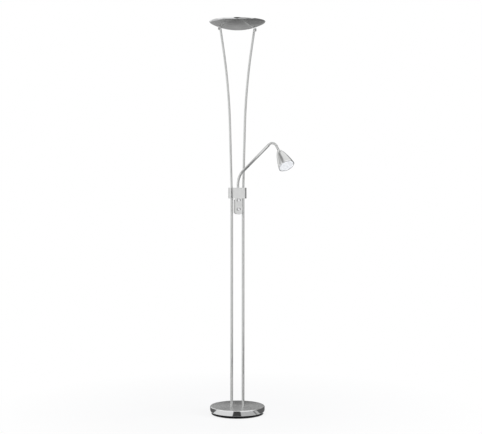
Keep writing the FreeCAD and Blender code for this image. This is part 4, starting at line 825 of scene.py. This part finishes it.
def make_world():
    """White all round as it is seen, and a dimmer, cooler light on the lamp."""
    world = bpy.data.worlds.new("studio")
    bpy.context.scene.world = world
    world.use_nodes = True
    nodes, links = world.node_tree.nodes, world.node_tree.links
    light = nodes["Background"]
    light.inputs["Color"].default_value = (0.9, 0.93, 1.0, 1)
    light.inputs["Strength"].default_value = 0.5
    white = nodes.new("ShaderNodeBackground")
    white.inputs["Color"].default_value = (1, 1, 1, 1)
    mix = nodes.new("ShaderNodeMixShader")
    links.new(seen_or_mirrored(nodes, links), mix.inputs["Fac"])
    links.new(light.outputs[0], mix.inputs[1])
    links.new(white.outputs[0], mix.inputs[2])
    links.new(mix.outputs[0], nodes["World Output"].inputs["Surface"])


def make_floor():
    """Pale paper, which fades from what the lamps and shadows make of it, at the foot, to plain white."""
    bm = bmesh.new()
    bmesh.ops.create_grid(bm, x_segments=2, y_segments=2, size=14)
    floor = in_scene("floor", as_mesh("floor", bm))
    finish = Finish("pale_floor", (0.93, 0.93, 0.93), 0.9)
    finish.tint(finish.noise(finish.object_place(), 3.0), 0.99)
    share = finish.node("ShaderNodeMath", operation="MULTIPLY")
    finish.links.new(seen_or_mirrored(finish.nodes, finish.links), share.inputs[0])
    fading = finish.spread(finish.length(finish.object_place()), 0.85, 1.0, start=0.3, end=1.2)
    finish.links.new(fading, share.inputs[1])
    finish.glowing(share.outputs[0])
    floor.data.materials.append(finish.material)


# The ways that the cards follow, each as distances from the lamp's middle and heights
FOOT = ((0.16, 0.002), (0.45, 0.002))
FLOOR = ((0.45, 0.003), (6.4, 0.003))
SIDE_FLOOR = ((0.45, 0.004), (1.5, 0.004))
FRONT_FLOOR = ((1.0, 0.005), (2.3, 0.005))
LOW_BACK = ((0.9, 0.005), (0.9, 0.215))
ROOM = ((0.45, 0.002), (6.4, 0.002), (6.4, 6.0))
OVERHEAD = ((2.0, 2.9), (0.9, 3.65))

# Name, way, first and last angle to the right of the camera, and grey, where 1 is white: at half a metre
# from the lamp and at two and a half, or one for the whole card
CARDS = (
    ("card_foot_front", FOOT, -14, 11, 0.06),
    ("card_foot_right", FOOT, 11, 57, 0.5),
    ("card_foot_line", FOOT, 57, 63, 0.2),
    ("card_foot_patch", FOOT, 63, 74, 0.5),
    ("card_foot_side", FOOT, 74, 152, 0.12),
    ("card_foot_left", FOOT, 212, 278, 0.12),
    ("card_foot_left_front", FOOT, 278, 346, 0.8),
    ("card_behind_camera", ROOM, -16, 11, 0.04, 0.05),
    ("card_front_floor", FRONT_FLOOR, 11, 70, 0.1),
    ("card_right", ROOM, 76, 152, 0.12, 0.16),
    ("card_back_right", ROOM, 152, 166, 0.18, 0.24),
    ("card_back", ROOM, 166, 205, 0.12, 0.38),
    ("card_back_floor", FLOOR, 205, 228, 0.2, 0.45),
    ("card_low_back", LOW_BACK, 150, 210, 0.16),
    ("card_left", ROOM, 237, 264, 0.6),
    ("card_left_floor", SIDE_FLOOR, 240, 285, 0.08),
    ("card_overhead", OVERHEAD, 240, 300, 0.35),
)


def make_card(name, way, start, end, near, far=None):
    """A grey card swept round the lamp, that only metal shows."""
    bm = bmesh.new()
    chain = [bm.verts.new((0, -reach, height)) for reach, height in way]
    edges = [bm.edges.new(pair) for pair in zip(chain, chain[1:])]
    bmesh.ops.rotate(bm, verts=chain, cent=(0, 0, 0),
                     matrix=Matrix.Rotation(CAMERA_ANGLE + math.radians(start), 3, "Z"))
    bmesh.ops.spin(bm, geom=chain + edges, cent=(0, 0, 0), axis=(0, 0, 1),
                   angle=math.radians(end - start), steps=24)
    card = in_scene(name, as_mesh(name, bm))
    finish = Finish(f"{name}_grey", (1, 1, 1), 1.0)
    distance = finish.length(finish.object_place())
    grey = finish.spread(distance, near, near if far is None else far, start=0.5, end=2.5)
    finish.links.new(grey, finish.glowing().inputs["Strength"])
    card.data.materials.append(finish.material)
    for kind in ("camera", "diffuse", "shadow", "transmission", "volume_scatter"):
        setattr(card, f"visible_{kind}", False)


def make_lamp(name, place, size, power):
    """A soft square light on the middle of the torchiere, which metal doesn't show."""
    light = bpy.data.lights.new(name, "AREA")
    light.shape = "SQUARE"
    light.size = size
    light.energy = power
    obj = in_scene(name, light)
    obj.visible_glossy = False
    set_up(obj, Vector(place), Vector((0, 0, 1.0)))


def set_up(obj, place, aim):
    """Puts a light or the camera in its place, turned to its aim."""
    obj.location = place
    obj.rotation_euler = (aim - place).to_track_quat("-Z", "Y").to_euler()


def make_camera():
    """The camera where the photograph was taken from, a little to the left of the lamp's front."""
    camera = bpy.data.cameras.new("camera")
    camera.sensor_width = 36
    camera.lens = CAMERA_LENS
    camera.clip_end = 60
    obj = in_scene("camera", camera)
    bpy.context.scene.camera = obj
    back = Vector((math.sin(CAMERA_ANGLE), -math.cos(CAMERA_ANGLE), 0))
    right = Vector((math.cos(CAMERA_ANGLE), math.sin(CAMERA_ANGLE), 0))
    set_up(obj, back * CAMERA_DISTANCE + Vector((0, 0, CAMERA_HEIGHT)),
           right * AIM_RIGHT + Vector((0, 0, AIM_HEIGHT)))


dress_inner_pieces()
make_world()
make_floor()
for card in CARDS:
    make_card(*card)
make_lamp("key", (-2.6, -3.2, 3.2), 2.2, 52)
make_lamp("fill", (3.2, -2.6, 1.8), 2.0, 105)
make_lamp("top", (0.3, 0.6, 4.2), 2.0, 6)
make_camera()

make_dish()
make_ears()
make_base()
make_poles()
make_bracket()
make_plate()
HOSE_JOINTS = hose_joints()
make_hoses(HOSE_JOINTS)
make_tube(HOSE_JOINTS)
make_head(HOSE_JOINTS)

bpy.context.scene.view_settings.view_transform = "Standard"
